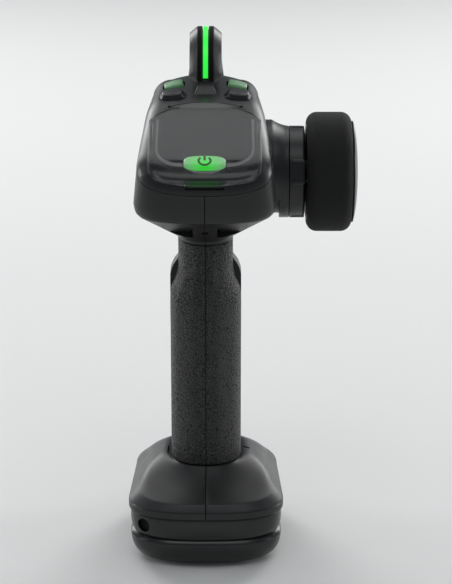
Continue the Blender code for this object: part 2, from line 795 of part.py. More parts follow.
# Case screws with a boss in each half
screw_places = (
    ("case_screw_low", LOW_SCREW_Y, LOW_SCREW_Z, GRIP_WIDTH / 2),
    ("case_screw_high", HIGH_SCREW_Y, HIGH_SCREW_Z, GRIP_WIDTH / 2),
    ("case_screw_nose", NOSE_SCREW_Y, NOSE_SCREW_Z, head_half(NOSE_SCREW_Y)),
)
for name, y, z, half in screw_places:
    boss_start = half - WALL / 2
    seat_x = CASE_SCREW_X
    seam = SEAM_GAP / 2
    boss_right = rod("boss_right_" + name, (seam, y, z), (boss_start, y, z), POST_RADIUS, None)
    boss_left = rod("boss_left_" + name, (-seam, y, z), (-boss_start, y, z), POST_RADIUS, None)
    add(case_right, boss_right)
    add(case_left, boss_left)
    hole_radius = SCREW_RADIUS + FIT_GAP / 2
    hole = rod("hole_" + name, (-half, y, z), (seat_x + FIT_GAP, y, z), hole_radius, None)
    sink = rod("sink_" + name, (-OUTSIDE, y, z), (-seat_x, y, z), SCREW_HEAD + FIT_GAP, None)
    cut(case_right, hole)
    cut(case_left, hole, sink)
    profile = [
        (0.0, seat_x),
        (SCREW_RADIUS, seat_x),
        (SCREW_RADIUS, -seat_x - FIT_GAP / 2),
        (SCREW_HEAD, -seat_x - FIT_GAP / 2),
        (SCREW_HEAD, -seat_x - SCREW_HEAD_HEIGHT),
        (0.0, -seat_x - SCREW_HEAD_HEIGHT),
    ]
    turned(name, profile, (0.0, y, z), STEEL, SMALL_STEPS)

# Wheel opening in the right half
wheel_axis = (0.0, WHEEL_Y, WHEEL_Z)
opening = rod(
    "wheel_opening",
    (MOUNT_START_X - HEAD_EDGE, WHEEL_Y, WHEEL_Z),
    (OUTSIDE, WHEEL_Y, WHEEL_Z),
    MOUNT_NECK_RADIUS + FIT_GAP,
    None,
    ROUND_STEPS,
)
spigot_room = rod(
    "spigot_room",
    (SPIGOT_END_X - HEAD_EDGE, WHEEL_Y, WHEEL_Z),
    (MOUNT_FACE_X, WHEEL_Y, WHEEL_Z),
    SPIGOT_RADIUS + SLIDE_GAP,
    None,
    ROUND_STEPS,
)
cut(case_right, opening, spigot_room)

# Base bosses of the case, base ring and base cap
screw_x = BASE_WIDTH / 2 - SCREW_INSET_X
screw_y = BASE_DEPTH / 2 - SCREW_INSET_Y
screw_front = BASE_DEPTH / 2 - SCREW_INSET_FRONT
base_places = [(x, y) for x in (-screw_x, screw_x) for y in (-screw_y, screw_front)]
boss_low = CAP_TOP_Z + FIT_GAP
screw_top = boss_low + BASE_SCREW_REACH
for index, (x, y) in enumerate(base_places):
    target = case_right if x > 0 else case_left
    boss_top = CREASE_Z + (DOME_LIFT * BOSS_LIFT_SHARE if y > 0 else -WALL / 4)
    boss = rod("base_boss_%d" % index, (x, y, boss_low), (x, y, boss_top), POST_RADIUS, None)
    add(target, boss)
    hole_top = (x, y, screw_top + FIT_GAP)
    hole = rod("base_hole_%d" % index, (x, y, 0.0), hole_top, SCREW_RADIUS + FIT_GAP / 2, None)
    cut(target, hole)


def cup_section(z, inset):
    return base_section(z, RING_STEP + inset, RING_STEP + inset)


ring_low = CAP_TOP_Z + SEAM_GAP
ring_high = BASE_SEAM_Z - SEAM_GAP
ring_rings = [
    full_ring(cup_section(ring_low, RING_STEP * RING_LOW_SHARE), 0.0),
    full_ring(cup_section((ring_low + ring_high) / 2, 0.0), 0.0),
    full_ring(cup_section(ring_high, RING_STEP * RING_HIGH_SHARE), 0.0),
]
base_ring = loft("base_ring", ring_rings, HARD_BLACK)
ring_bore = loft(
    "ring_bore",
    [full_ring(cup_section(z, WALL), 0.0) for z in (0.0, BASE_SEAM_Z + WALL)],
    None,
)
cut(base_ring, ring_bore)

cap_rings = []
for step in range(CAP_STEPS + 1):
    angle = math.pi / 2 * step / CAP_STEPS
    inset = CAP_CURVE * (1 - math.sin(angle))
    height = CAP_BOTTOM_Z + (CAP_TOP_Z - CAP_BOTTOM_Z - RING_STEP) * (1 - math.cos(angle))
    cap_rings.append(full_ring(cup_section(height, inset), 0.0))
cap_rings.append(full_ring(cup_section(CAP_TOP_Z, RING_STEP * RING_LOW_SHARE), 0.0))
base_cap = loft("base_cap", cap_rings, HARD_BLACK)
cap_bore_rings = []
for step in range(CAP_STEPS + 1):
    angle = math.pi / 2 * step / CAP_STEPS
    inset = CAP_INNER_CURVE * (1 - math.sin(angle)) + WALL
    floor = CAP_BOTTOM_Z + CAP_FLOOR
    height = floor + (CAP_TOP_Z - floor - RING_STEP) * (1 - math.cos(angle))
    cap_bore_rings.append(full_ring(cup_section(height, inset), 0.0))
cap_bore_rings.append(full_ring(cup_section(CAP_TOP_Z + WALL, WALL), 0.0))
cut(base_cap, loft("cap_bore", cap_bore_rings, None))
for index, (x, y) in enumerate(base_places):
    post_low = (x, y, CAP_BOTTOM_Z + WALL * POST_RISE_SHARE)
    post = rod("cap_post_%d" % index, post_low, (x, y, CAP_TOP_Z), POST_RADIUS, None)
    add(base_cap, post)
    seat_z = CAP_TOP_Z - WALL * 2
    below = (x, y, -OUTSIDE)
    hole = rod("cap_hole_%d" % index, below, (x, y, OUTSIDE), SCREW_RADIUS + FIT_GAP / 2, None)
    sink = rod("cap_sink_%d" % index, below, (x, y, seat_z), SCREW_HEAD + FIT_GAP, None)
    cut(base_cap, hole, sink)
    screw_profile = [
        (0.0, screw_top),
        (SCREW_RADIUS, screw_top),
        (SCREW_RADIUS, seat_z - FIT_GAP / 2),
        (SCREW_HEAD, seat_z - FIT_GAP / 2),
        (SCREW_HEAD, seat_z - SCREW_HEAD_HEIGHT),
        (0.0, seat_z - SCREW_HEAD_HEIGHT),
    ]
    screw = turned("base_screw_%d" % (index + 1), screw_profile, (x, y, 0.0), STEEL, SMALL_STEPS)
    screw.rotation_euler = (0.0, 0.0, 0.0)

# Foot pad in a shallow recess under the cap
def pad_section(z, grow):
    return Section(
        z, -PAD_DEPTH / 2 - grow, PAD_DEPTH / 2 + grow, PAD_WIDTH + 2 * grow,
        PAD_CORNER + grow, PAD_CORNER + grow, BASE_POWER,
    )


loft("foot_pad", [full_ring(pad_section(z, 0.0), 0.0) for z in (0.0, PAD_THICKNESS)], RUBBER_BLACK)
pad_recess = loft(
    "pad_recess",
    [full_ring(pad_section(z, FIT_GAP), 0.0) for z in (-PAD_THICKNESS, PAD_THICKNESS + FIT_GAP)],
    None,
)
cut(base_cap, pad_recess)

# Port with its rubber plug at the rear left corner of the ring
port_share = 2 / BASE_POWER
port_turn = math.radians(PORT_ANGLE)
ring_half = BASE_WIDTH / 2 - RING_STEP
ring_rear = -BASE_DEPTH / 2 + RING_STEP
port_x = -ring_half * math.sin(port_turn) ** port_share
port_y = ring_rear + BASE_CORNER * (1 - math.cos(port_turn) ** port_share)
lean_x = math.sin(port_turn) ** (port_share * (BASE_POWER - 1)) / ring_half
lean_y = math.cos(port_turn) ** (port_share * (BASE_POWER - 1)) / BASE_CORNER
port_out = Vector((-lean_x, -lean_y, 0.0)).normalized()
port_place = Vector((port_x, port_y, PORT_Z))
port_reach = port_out * WALL * 3
port_hole = rod("port_hole", port_place - port_reach, port_place + port_reach, PORT_RADIUS, None)
cut(base_ring, port_hole)
plug_out = port_place - port_out * PORT_RECESS
plug_in = port_place - port_out * WALL * 2
rod("port_plug", plug_in, plug_out, PORT_RADIUS - FIT_GAP, RUBBER_BLACK)

# Cells and their holder
holder_low = CAP_BOTTOM_Z + CAP_FLOOR + FIT_GAP
holder_half = CELL_LENGTH / 2 + FIT_GAP
cell_gap = CELL_RADIUS + FIT_GAP
cell_z = holder_low + HOLDER_FLOOR + FIT_GAP + CELL_RADIUS
holder = box(
    "battery_holder",
    (-2 * cell_gap, -holder_half - HOLDER_WALL, holder_low),
    (2 * cell_gap, holder_half + HOLDER_WALL, holder_low + HOLDER_HEIGHT),
    HARD_BLACK,
)
holder_room = box(
    "holder_room",
    (-OUTSIDE, -holder_half, holder_low + HOLDER_FLOOR),
    (OUTSIDE, holder_half, OUTSIDE),
    None,
)
cut(holder, holder_room)
for name, side in (("battery_cell_left", -1), ("battery_cell_right", 1)):
    x = side * cell_gap
    cell_half = CELL_LENGTH / 2
    rod(name, (x, -cell_half, cell_z), (x, cell_half, cell_z), CELL_RADIUS, CELL_BLUE, BORE_STEPS)

# Top shell: bezel and deck in one moulding
def top_ring(section, bottom_lift, inset, drop, from_seam):
    ring = []
    for x, y in half_outline(section, inset, inset, CENTRE_FLAT):
        height = top_z(y) - seam_z(y)
        fall = drop * min(1.0, height / (TOP_ROUND * ROUND_ROOM_SHARE))
        z = seam_z(y) + bottom_lift if from_seam else top_z(y) - fall
        ring.append(Vector((x, y, z)))
    return ring + mirrored(reversed(ring))


def top_rings(section, edge, bottom_lift, round_size):
    rings = [top_ring(section, bottom_lift, edge, 0.0, True)]
    for inset, drop in zip(ROUND_INSET_SHARES, ROUND_DROP_SHARES):
        rings.append(top_ring(section, 0.0, edge + round_size * inset, round_size * drop, False))
    return rings


def arc_y(x, shift):
    return HINGE_Y + shift - (COVER_ARC - math.sqrt(COVER_ARC**2 - x**2))


def shelf_region(name, shift, lift, limit):
    """The space over the shelf, from behind the head to the arc where the deck starts."""
    rings = []
    reach = HEAD_WIDTH / 2 + COVER_EDGE
    for x in spread(-reach, reach, SHELF_STEPS):
        front = min(arc_y(x, shift), limit)
        ring = []
        for y in spread(HEAD_REAR - HEAD_EDGE, front, SHELF_ROWS):
            ring.append(Vector((x, y, seam_z(y) + SHELF_HEIGHT + lift)))
        for y in spread(front, HEAD_REAR - HEAD_EDGE, SHELF_ROWS):
            ring.append(Vector((x, y, DECK_FRONT_Z + HEAD_EDGE)))
        rings.append(ring)
    return loft(name, rings, None)


shell_rings = top_rings(seam_section(0.0), 0.0, SEAM_GAP / 2, TOP_ROUND)
top_shell = loft("top_shell", shell_rings, HARD_BLACK)
cut(top_shell, shelf_region("cover_room", 0.0, 0.0, HINGE_Y))

room_rings = []
for y in spread(HINGE_Y + WALL, HEAD_FRONT - HEAD_EDGE * NOSE_ROOM_SHARE, ROOM_STEPS):
    half = head_half(y)
    low = seam_z(y) - WALL
    high = top_z(y) - DECK_WALL
    wide = half - WALL - FIT_GAP
    slim = half - TOP_ROUND * SLIM_SHARE
    corners = ((wide, low), (slim, high), (-slim, high), (-wide, low))
    room_rings.append([Vector((x, y, z)) for x, z in corners])
cut(top_shell, loft("deck_room", room_rings, None))

# Display, main board and the strip beside them
window = box(
    "display_window",
    (-DISPLAY_WIDTH / 2 - FIT_GAP, DISPLAY_REAR - FIT_GAP, SEAM_REAR_Z - HEAD_EDGE),
    (DISPLAY_WIDTH / 2 + FIT_GAP, DISPLAY_FRONT + FIT_GAP, DECK_FRONT_Z),
    None,
)
cut(top_shell, window)


def tilted_block(name, rear, front, half, depth, thickness, look):
    outline = [
        (rear, top_z(rear) - depth - thickness),
        (front, top_z(front) - depth - thickness),
        (front, top_z(front) - depth),
        (rear, top_z(rear) - depth),
    ]
    return prism(name, outline, "X", -half, half, look)


display_half = DISPLAY_WIDTH / 2
tilted_block(
    "display_panel", DISPLAY_REAR, DISPLAY_FRONT, display_half, DISPLAY_DEPTH, DISPLAY_THICKNESS, SMOKED
)
board_depth = DISPLAY_DEPTH + DISPLAY_THICKNESS + FIT_GAP
board_rear = DISPLAY_REAR + WALL
board_half = display_half - WALL
tilted_block(
    "main_board", board_rear, DISPLAY_FRONT, board_half, board_depth, BOARD_THICKNESS, BOARD_GREEN
)

strip_path = []
strip_far = STRIP_INSET + STRIP_WIDTH
strip_outer = half_outline(seam_section(0.0), STRIP_INSET, STRIP_INSET, 0.0)
strip_inner = half_outline(seam_section(0.0), strip_far, strip_far, 0.0)
pairs = [(a, b) for a, b in zip(strip_outer, strip_inner) if a[1] < STRIP_FRONT - WALL]
strip_end = head_half(STRIP_FRONT) - STRIP_INSET
pairs.append(((strip_end, STRIP_FRONT), (strip_end - STRIP_WIDTH, STRIP_FRONT)))
both_sides = [((-a[0], a[1]), (-b[0], b[1])) for a, b in reversed(pairs[1:])] + pairs
for (ax, ay), (bx, by) in both_sides:
    low_a = seam_z(ay) + SHELF_HEIGHT + FIT_GAP
    low_b = seam_z(by) + SHELF_HEIGHT + FIT_GAP
    high_a = top_z(ay) - STRIP_DROP
    high_b = top_z(by) - STRIP_DROP
    corners = ((ax, ay, low_a), (ax, ay, high_a), (bx, by, high_b), (bx, by, low_b))
    strip_path.append([Vector(corner) for corner in corners])
loft("status_strip", strip_path, STRIP_GREY)

# Flip cover with its hinge tab and pin
cover_front = HINGE_Y + TOP_ROUND * 3
cover_section = Section(
    0.0, HEAD_REAR, cover_front, HEAD_SEAM_WIDTH, HEAD_CORNER_REAR, HEAD_EDGE * 2, HEAD_POWER,
    tip_width=2 * head_half(cover_front - HEAD_EDGE * 2),
)
cover_round = TOP_ROUND * COVER_ROUND_SHARE
cover_rings = top_rings(cover_section, COVER_EDGE, SHELF_HEIGHT + FIT_GAP, cover_round)
flip_cover = loft("flip_cover", cover_rings, SMOKED)
cover_hollow = loft(
    "cover_hollow", top_rings(cover_section, COVER_EDGE + COVER_WALL, 0.0, cover_round), None
)
cover_hollow.location = (0.0, 0.0, -COVER_WALL)
cut(flip_cover, cover_hollow)
hinge_y = HINGE_Y - HINGE_KNUCKLE - TURN_GAP * 3
hinge_z = top_z(hinge_y) - HINGE_DROP
change(flip_cover, shelf_region("cover_keep", -TURN_GAP * 2, -SHELF_HEIGHT / 2, hinge_y), "INTERSECT")
tab_half = HINGE_TAB_WIDTH / 2
lug_half = tab_half + HINGE_LUG


def hinge_rod(name, start, end, radius, look):
    return rod(name, (start, hinge_y, hinge_z), (end, hinge_y, hinge_z), radius, look)


hinge_room = box(
    "hinge_room",
    (-tab_half - SLIDE_GAP, hinge_y - HEAD_EDGE, hinge_z - HINGE_KNUCKLE - TURN_GAP),
    (tab_half + SLIDE_GAP, hinge_y + HINGE_KNUCKLE + TURN_GAP, DECK_FRONT_Z),
    None,
)
cut(top_shell, hinge_room)
bore_end = lug_half + FIT_GAP
hinge_bore = hinge_rod("hinge_bore", -bore_end, bore_end, HINGE_PIN_RADIUS + FIT_GAP / 2, None)
lug_start = tab_half + SLIDE_GAP * 3 / 2
lug_end = lug_half + WALL
relief_start = tab_half - FIT_GAP / 3
relief_end = lug_end + SLIDE_GAP
for side, label in ((-1, "left"), (1, "right")):
    lug = hinge_rod("lug_" + label, side * lug_start, side * lug_end, HINGE_KNUCKLE, None)
    relief_radius = HINGE_KNUCKLE + TURN_GAP
    relief = hinge_rod("relief_" + label, side * relief_start, side * relief_end, relief_radius, None)
    add(top_shell, lug)
    cut(flip_cover, relief)
cut(top_shell, hinge_bore)
add(flip_cover, hinge_rod("knuckle", -tab_half, tab_half, HINGE_KNUCKLE, None))
cut(flip_cover, hinge_bore)
hinge_rod("cover_hinge_pin", -lug_half, lug_half, HINGE_PIN_RADIUS, STEEL)

# Power button, its openings and its switch
power_place = (0.0, POWER_Y, top_z(POWER_Y))
power_room = (top_z(POWER_Y) - seam_z(POWER_Y)) * math.cos(COVER_TILT)
stem_low = -(power_room - BUTTON_TRAVEL - SLIDE_GAP)
power_edge_width = POWER_WIDTH - POWER_ROUND
power_edge_depth = POWER_DEPTH - POWER_ROUND
power_top_width = POWER_WIDTH - POWER_ROUND * 3
power_top_depth = POWER_DEPTH - POWER_ROUND * 3
power_button = stacked(
    "power_button",
    [
        (POWER_WIDTH, POWER_DEPTH, POWER_DEPTH * STADIUM_SHARE, POWER_PROUD - POWER_HEAD),
        (POWER_WIDTH, POWER_DEPTH, POWER_DEPTH * STADIUM_SHARE, POWER_PROUD - POWER_ROUND),
        (power_edge_width, power_edge_depth, POWER_DEPTH * STADIUM_EDGE_SHARE, POWER_PROUD - POWER_ROUND / 3),
        (power_top_width, power_top_depth, POWER_DEPTH * STADIUM_TOP_SHARE, POWER_PROUD),
    ],
    GREEN_LIT,
    power_place,
    COVER_TILT,
)


def power_stem(name, grow, low):
    turn = Matrix.Translation(power_place) @ Matrix.Rotation(COVER_TILT, 4, "X")
    place = turn @ Vector((0.0, POWER_STEM_SHIFT, 0.0))
    width = POWER_STEM_WIDTH + 2 * grow
    depth = POWER_STEM_DEPTH + 2 * grow
    high = POWER_PROUD - POWER_HEAD * STEM_LAP_SHARE
    layers = [(width, depth, POWER_ROUND, low), (width, depth, POWER_ROUND, high)]
    return stacked(name, layers, None, place, COVER_TILT)


stem = power_stem("power_stem", 0.0, stem_low)
stem.location = power_button.matrix_basis.inverted() @ Vector(stem.location)
stem.rotation_euler = (0.0, 0.0, 0.0)
stem.parent = power_button
add(power_button, stem)
cut(top_shell, power_stem("power_stem_hole", SLIDE_GAP, -OUTSIDE / 4))
power_hole = stacked(
    "power_hole",
    [
        (POWER_WIDTH + TURN_GAP * 2, POWER_DEPTH + TURN_GAP * 2, POWER_DEPTH * STADIUM_SHARE, -POWER_HEAD),
        (POWER_WIDTH + TURN_GAP * 2, POWER_DEPTH + TURN_GAP * 2, POWER_DEPTH * STADIUM_SHARE, POWER_HEAD),
    ],
    None,
    power_place,
    COVER_TILT,
)
cut(flip_cover, power_hole)
switch_rear = POWER_Y - POWER_STEM_DEPTH
switch_front = POWER_Y + POWER_STEM_DEPTH * SWITCH_REACH_SHARE
prism(
    "power_switch",
    [
        (switch_rear, seam_z(switch_rear) - FIT_GAP - POWER_SWITCH_HEIGHT),
        (switch_front, seam_z(switch_front) - FIT_GAP - POWER_SWITCH_HEIGHT),
        (switch_front, seam_z(switch_front) - FIT_GAP),
        (switch_rear, seam_z(switch_rear) - FIT_GAP),
    ],
    "X",
    -POWER_STEM_WIDTH,
    POWER_STEM_WIDTH,
    HARD_BLACK,
)

# Deck buttons with the board and the switches under them
flange_top = top_z(OVAL_Y) - DECK_WALL - SLIDE_GAP * 2
stem_bottom = flange_top - BUTTON_FLANGE_HEIGHT
switch_top = stem_bottom - BUTTON_TRAVEL - SLIDE_GAP / 2
board_top = switch_top - SWITCH_HEIGHT - FIT_GAP
oval_recess = BUTTON_TRAVEL + SLIDE_GAP
for side, label in ((-1, "left"), (1, "right")):
    lit_z = top_z(LIT_Y)
    place = (side * LIT_X, LIT_Y, 0.0)
    flange = 2 * BUTTON_FLANGE
    lit_layers = [
        (LIT_WIDTH + flange, LIT_DEPTH + flange, BUTTON_TRAVEL, stem_bottom),
        (LIT_WIDTH + flange, LIT_DEPTH + flange, BUTTON_TRAVEL, flange_top),
        (LIT_WIDTH, LIT_DEPTH, BUTTON_TRAVEL, flange_top),
        (LIT_WIDTH, LIT_DEPTH, BUTTON_TRAVEL, lit_z + LIT_HEIGHT - BUTTON_ROUND),
        (LIT_WIDTH - BUTTON_ROUND * 2, LIT_DEPTH - BUTTON_ROUND * 2, BUTTON_TRAVEL, lit_z + LIT_HEIGHT),
    ]
    stacked("lit_button_" + label, lit_layers, GREEN_LIT, place)
    hole_width = LIT_WIDTH + 2 * SLIDE_GAP
    hole_depth = LIT_DEPTH + 2 * SLIDE_GAP
    heights = (stem_bottom, lit_z + LIT_HEIGHT)
    hole_layers = [(hole_width, hole_depth, BUTTON_TRAVEL, height) for height in heights]
    cut(top_shell, stacked("lit_hole_" + label, hole_layers, None, place))
    box(
        "lit_switch_" + label,
        (side * LIT_X - SWITCH_SIZE / 2, LIT_Y - SWITCH_SIZE / 2, switch_top - SWITCH_HEIGHT),
        (side * LIT_X + SWITCH_SIZE / 2, LIT_Y + SWITCH_SIZE / 2, switch_top),
        HARD_BLACK,
    )
    oval_z = top_z(OVAL_Y)
    place = (side * OVAL_X, OVAL_Y, 0.0)
    wide = OVAL_WIDTH + 2 * OVAL_SKIRT
    deep = OVAL_DEPTH + 2 * OVAL_SKIRT
    oval_top_width = OVAL_WIDTH - BUTTON_ROUND * 2
    oval_top_depth = OVAL_DEPTH - BUTTON_ROUND * 2
    oval_layers = [
        (OVAL_STEM_WIDTH + flange, OVAL_STEM_DEPTH + flange, BUTTON_TRAVEL, stem_bottom),
        (OVAL_STEM_WIDTH + flange, OVAL_STEM_DEPTH + flange, BUTTON_TRAVEL, flange_top),
        (OVAL_STEM_WIDTH, OVAL_STEM_DEPTH, BUTTON_TRAVEL, flange_top),
        (OVAL_STEM_WIDTH, OVAL_STEM_DEPTH, BUTTON_TRAVEL, oval_z),
        (wide, deep, deep * STADIUM_SHARE, oval_z),
        (wide, deep, deep * STADIUM_SHARE, oval_z + OVAL_SKIRT * SKIRT_EDGE_SHARE),
        (OVAL_WIDTH, OVAL_DEPTH, OVAL_DEPTH * STADIUM_SHARE, oval_z + OVAL_SKIRT),
        (OVAL_WIDTH, OVAL_DEPTH, OVAL_DEPTH * STADIUM_SHARE, oval_z + OVAL_HEIGHT - BUTTON_ROUND),
        (oval_top_width, oval_top_depth, OVAL_DEPTH * OVAL_TOP_SHARE, oval_z + OVAL_HEIGHT),
    ]
    stacked("oval_button_" + label, oval_layers, HARD_BLACK, place)
    stem_width = OVAL_STEM_WIDTH + 2 * SLIDE_GAP
    stem_depth = OVAL_STEM_DEPTH + 2 * SLIDE_GAP
    heights = (stem_bottom, oval_z + OVAL_HEIGHT)
    stem_layers = [(stem_width, stem_depth, BUTTON_TRAVEL, height) for height in heights]
    cut(top_shell, stacked("oval_hole_" + label, stem_layers, None, place))
    recess_wide = wide + 2 * SLIDE_GAP
    recess_deep = deep + 2 * SLIDE_GAP
    recess_layers = [
        (recess_wide, recess_deep, recess_deep * STADIUM_SHARE, oval_z - oval_recess),
        (recess_wide, recess_deep, recess_deep * STADIUM_SHARE, oval_z + OVAL_HEIGHT),
    ]
    cut(top_shell, stacked("oval_recess_" + label, recess_layers, None, place))
    box(
        "oval_switch_" + label,
        (side * OVAL_X - SWITCH_SIZE / 2, OVAL_Y - SWITCH_SIZE / 2, switch_top - SWITCH_HEIGHT),
        (side * OVAL_X + SWITCH_SIZE / 2, OVAL_Y + SWITCH_SIZE / 2, switch_top),
        HARD_BLACK,
    )
    post_x = side * (OVAL_X - OVAL_STEM_WIDTH)
    post_y = (OVAL_Y + LIT_Y) / 2
    post = rod(
        "board_post_" + label,
        (post_x, post_y, board_top + FIT_GAP),
        (post_x, post_y, top_z(post_y) - DECK_WALL / 2),
        WALL,
        None,
    )
    add(top_shell, post)
box(
    "button_board",
    (-LIT_X - SWITCH_SIZE, OVAL_Y - SWITCH_SIZE, board_top - BOARD_THICKNESS),
    (LIT_X + SWITCH_SIZE, LIT_Y + SWITCH_SIZE, board_top),
    BOARD_GREEN,
)

# Carry loop: an arch swept along an ellipse, cut off on the deck
loop_rise = LOOP_TOP_Z - LOOP_BASE_Z


def loop_point(angle, depth):
    half = LOOP_HALF_DEPTH - depth
    rise = loop_rise - depth
    return Vector((LOOP_Y - half * math.cos(angle), LOOP_BASE_Z + rise * math.sin(angle)))


def loop_ring(angle, corners):
    ring = []
    for x, depth in corners:
        point = loop_point(angle, depth)
        ring.append(Vector((x, point.x, point.y)))
    return ring


def loop_corners(half):
    slot = LOOP_LIGHT_WIDTH / 2 + FIT_GAP
    floor = LOOP_LIGHT_DEPTH + FIT_GAP
    right = [
        (slot, floor),
        (slot, 0.0),
        (half - LOOP_CHAMFER, 0.0),
        (half, LOOP_CHAMFER * CHAMFER_SLANT_SHARE),
        (half, LOOP_THICKNESS - LOOP_CHAMFER / 3),
        (half - LOOP_CHAMFER / 3, LOOP_THICKNESS),
    ]
    return right + [(-x, depth) for x, depth in reversed(right)]


loop_rings = []
for angle in spread(-LOOP_TUCK_ANGLE, math.pi + LOOP_TUCK_ANGLE, LOOP_STEPS + 1):
    low = 1 - max(math.sin(angle), 0.0)
    half = LOOP_WIDTH / 2 + LOOP_FOOT_FLARE / 2 * low**2
    loop_rings.append(loop_ring(angle, loop_corners(half)))
carry_loop = loft("carry_loop", loop_rings, HARD_BLACK)
deck_cut = [(y, top_z(y) + FIT_GAP) for y in spread(HINGE_Y, HEAD_FRONT, DECK_STEPS)]
deck_end = HEAD_FRONT + HEAD_EDGE
deck_cut += [(deck_end, top_z(HEAD_FRONT)), (deck_end, SEAM_REAR_Z), (HINGE_Y, SEAM_REAR_Z)]
cut(carry_loop, prism("deck_cut", deck_cut, "X", -LOOP_WIDTH, LOOP_WIDTH, None))
light_half = LOOP_LIGHT_WIDTH / 2
light_corners = [(light_half, LOOP_LIGHT_DEPTH), (light_half, 0.0)]
light_corners += [(-light_half, 0.0), (-light_half, LOOP_LIGHT_DEPTH)]
light_angles = spread(LIGHT_START_ANGLE, math.pi * LIGHT_END_SHARE, LOOP_STEPS + 1)
light_rings = [loop_ring(angle, light_corners) for angle in light_angles]
loft("loop_light", light_rings, GREEN_LIT)

# Steering wheel: fixed mount and housing, then the turning parts
hub_bore = SHAFT_RADIUS + FIT_GAP
spigot_in = SPIGOT_END_X
seat_depth = BEARING_WIDTH + FIT_GAP
seat_radius = BEARING_RADIUS + FIT_GAP / 2
wheel_mount = turned(
    "wheel_mount",
    [
        (seat_radius, MOUNT_END_X),
        (MOUNT_RADIUS, MOUNT_END_X),
        (MOUNT_RADIUS, MOUNT_FACE_X + MOUNT_FLARE),
        (MOUNT_RADIUS - MOUNT_FLARE / 2, MOUNT_FACE_X),
        (MOUNT_NECK_RADIUS, MOUNT_FACE_X),
        (MOUNT_NECK_RADIUS, MOUNT_START_X),
        (SPIGOT_RADIUS, MOUNT_START_X),
        (SPIGOT_RADIUS, spigot_in),
        (seat_radius, spigot_in),
        (seat_radius, spigot_in + seat_depth),
        (hub_bore, spigot_in + seat_depth),
        (hub_bore, MOUNT_END_X - seat_depth),
        (seat_radius, MOUNT_END_X - seat_depth),
    ],
    wheel_axis,
    HARD_BLACK,
)
housing_start = MOUNT_END_X + FIT_GAP
housing_bore = BEARING_RADIUS + WALL
wheel_housing = turned(
    "wheel_housing",
    [
        (housing_bore, HOUSING_END_X),
        (HOUSING_RADIUS - MOUNT_FLARE, HOUSING_END_X),
        (HOUSING_RADIUS, HOUSING_END_X - MOUNT_FLARE),
        (HOUSING_RADIUS, housing_start),
        (housing_bore, housing_start),
    ],
    wheel_axis,
    HARD_BLACK,
)
for index in range(HOUSING_PADS):
    angle = 2 * math.pi * index / HOUSING_PADS
    pad = box(
        "housing_pad_%d" % index,
        (housing_start + FIT_GAP, -HOUSING_PAD_WIDTH / 2, HOUSING_RADIUS - WALL),
        (housing_start + HOUSING_PAD_LENGTH, HOUSING_PAD_WIDTH / 2, HOUSING_RADIUS + PAD_RISE),
        None,
    )
    pad.location = wheel_axis
    pad.rotation_euler = (angle, 0.0, 0.0)
    add(wheel_housing, pad)
bearing_places = (("wheel_bearing_inner", spigot_in), ("wheel_bearing_outer", MOUNT_END_X - BEARING_WIDTH))
for name, start in bearing_places:
    turned(
        name,
        [
            (SHAFT_RADIUS + FIT_GAP / 2, start + BEARING_WIDTH),
            (BEARING_RADIUS, start + BEARING_WIDTH),
            (BEARING_RADIUS, start),
            (SHAFT_RADIUS + FIT_GAP / 2, start),
        ],
        wheel_axis,
        STEEL,
        BORE_STEPS,
    )
spring_start = MOUNT_END_X + FIT_GAP * 2
turned(
    "wheel_spring",
    [
        (SHAFT_RADIUS + TURN_GAP, HOUSING_END_X - WALL),
        (housing_bore - TURN_GAP, HOUSING_END_X - WALL),
        (housing_bore - TURN_GAP, spring_start),
        (SHAFT_RADIUS + TURN_GAP, spring_start),
    ],
    wheel_axis,
    STEEL,
    BORE_STEPS,
)
wheel_out = WHEEL_INNER_X + WHEEL_WIDTH
tyre_bore = TYRE_BORE_RADIUS
tyre_bend = TYRE_ROUND * TYRE_BEND_SHARE
turned(
    "wheel_tyre",
    [
        (tyre_bore, wheel_out),
        (WHEEL_RADIUS - TYRE_ROUND, wheel_out),
        (WHEEL_RADIUS - tyre_bend, wheel_out - tyre_bend),
        (WHEEL_RADIUS, wheel_out - TYRE_ROUND),
        (WHEEL_RADIUS, WHEEL_INNER_X + TYRE_ROUND),
        (WHEEL_RADIUS - tyre_bend, WHEEL_INNER_X + tyre_bend),
        (WHEEL_RADIUS - TYRE_ROUND, WHEEL_INNER_X),
        (tyre_bore, WHEEL_INNER_X),
    ],
    wheel_axis,
    FOAM_BLACK,
)
rim_radius = tyre_bore - FIT_GAP
web_x = wheel_out - WHEEL_WIDTH * WEB_SHARE
hub_radius = SHAFT_RADIUS + WALL
turned(
    "wheel_rim",
    [
        (rim_radius, wheel_out),
        (rim_radius, WHEEL_INNER_X),
        (rim_radius - RIM_WALL, WHEEL_INNER_X),
        (rim_radius - RIM_WALL, web_x),
        (hub_radius, web_x),
        (hub_radius, WHEEL_INNER_X + WALL),
        (SHAFT_RADIUS + FIT_GAP / 2, WHEEL_INNER_X + WALL),
        (SHAFT_RADIUS + FIT_GAP / 2, web_x + RIM_WALL),
        (rim_radius - RIM_WALL, web_x + RIM_WALL),
        (rim_radius - RIM_WALL, wheel_out),
    ],
    wheel_axis,
    HARD_BLACK,
)
cap_start = wheel_out + FIT_GAP
cap_profile = [(0.0, cap_start + CAP_RISE)]
for stop, rise in zip(CAP_STOP_SHARES, CAP_RISE_SHARES):
    cap_profile.append((CAP_RADIUS * stop, cap_start + CAP_RISE * rise))
cap_profile.append((CAP_RADIUS, cap_start))
cap_profile.append((rim_radius - RIM_WALL - FIT_GAP, cap_start))
cap_profile.append((rim_radius - RIM_WALL - FIT_GAP, cap_start - WALL))
cap_profile.append((0.0, cap_start - WALL))
turned("wheel_cap", cap_profile, wheel_axis, HARD_BLACK)
shaft_start = spigot_in - WALL
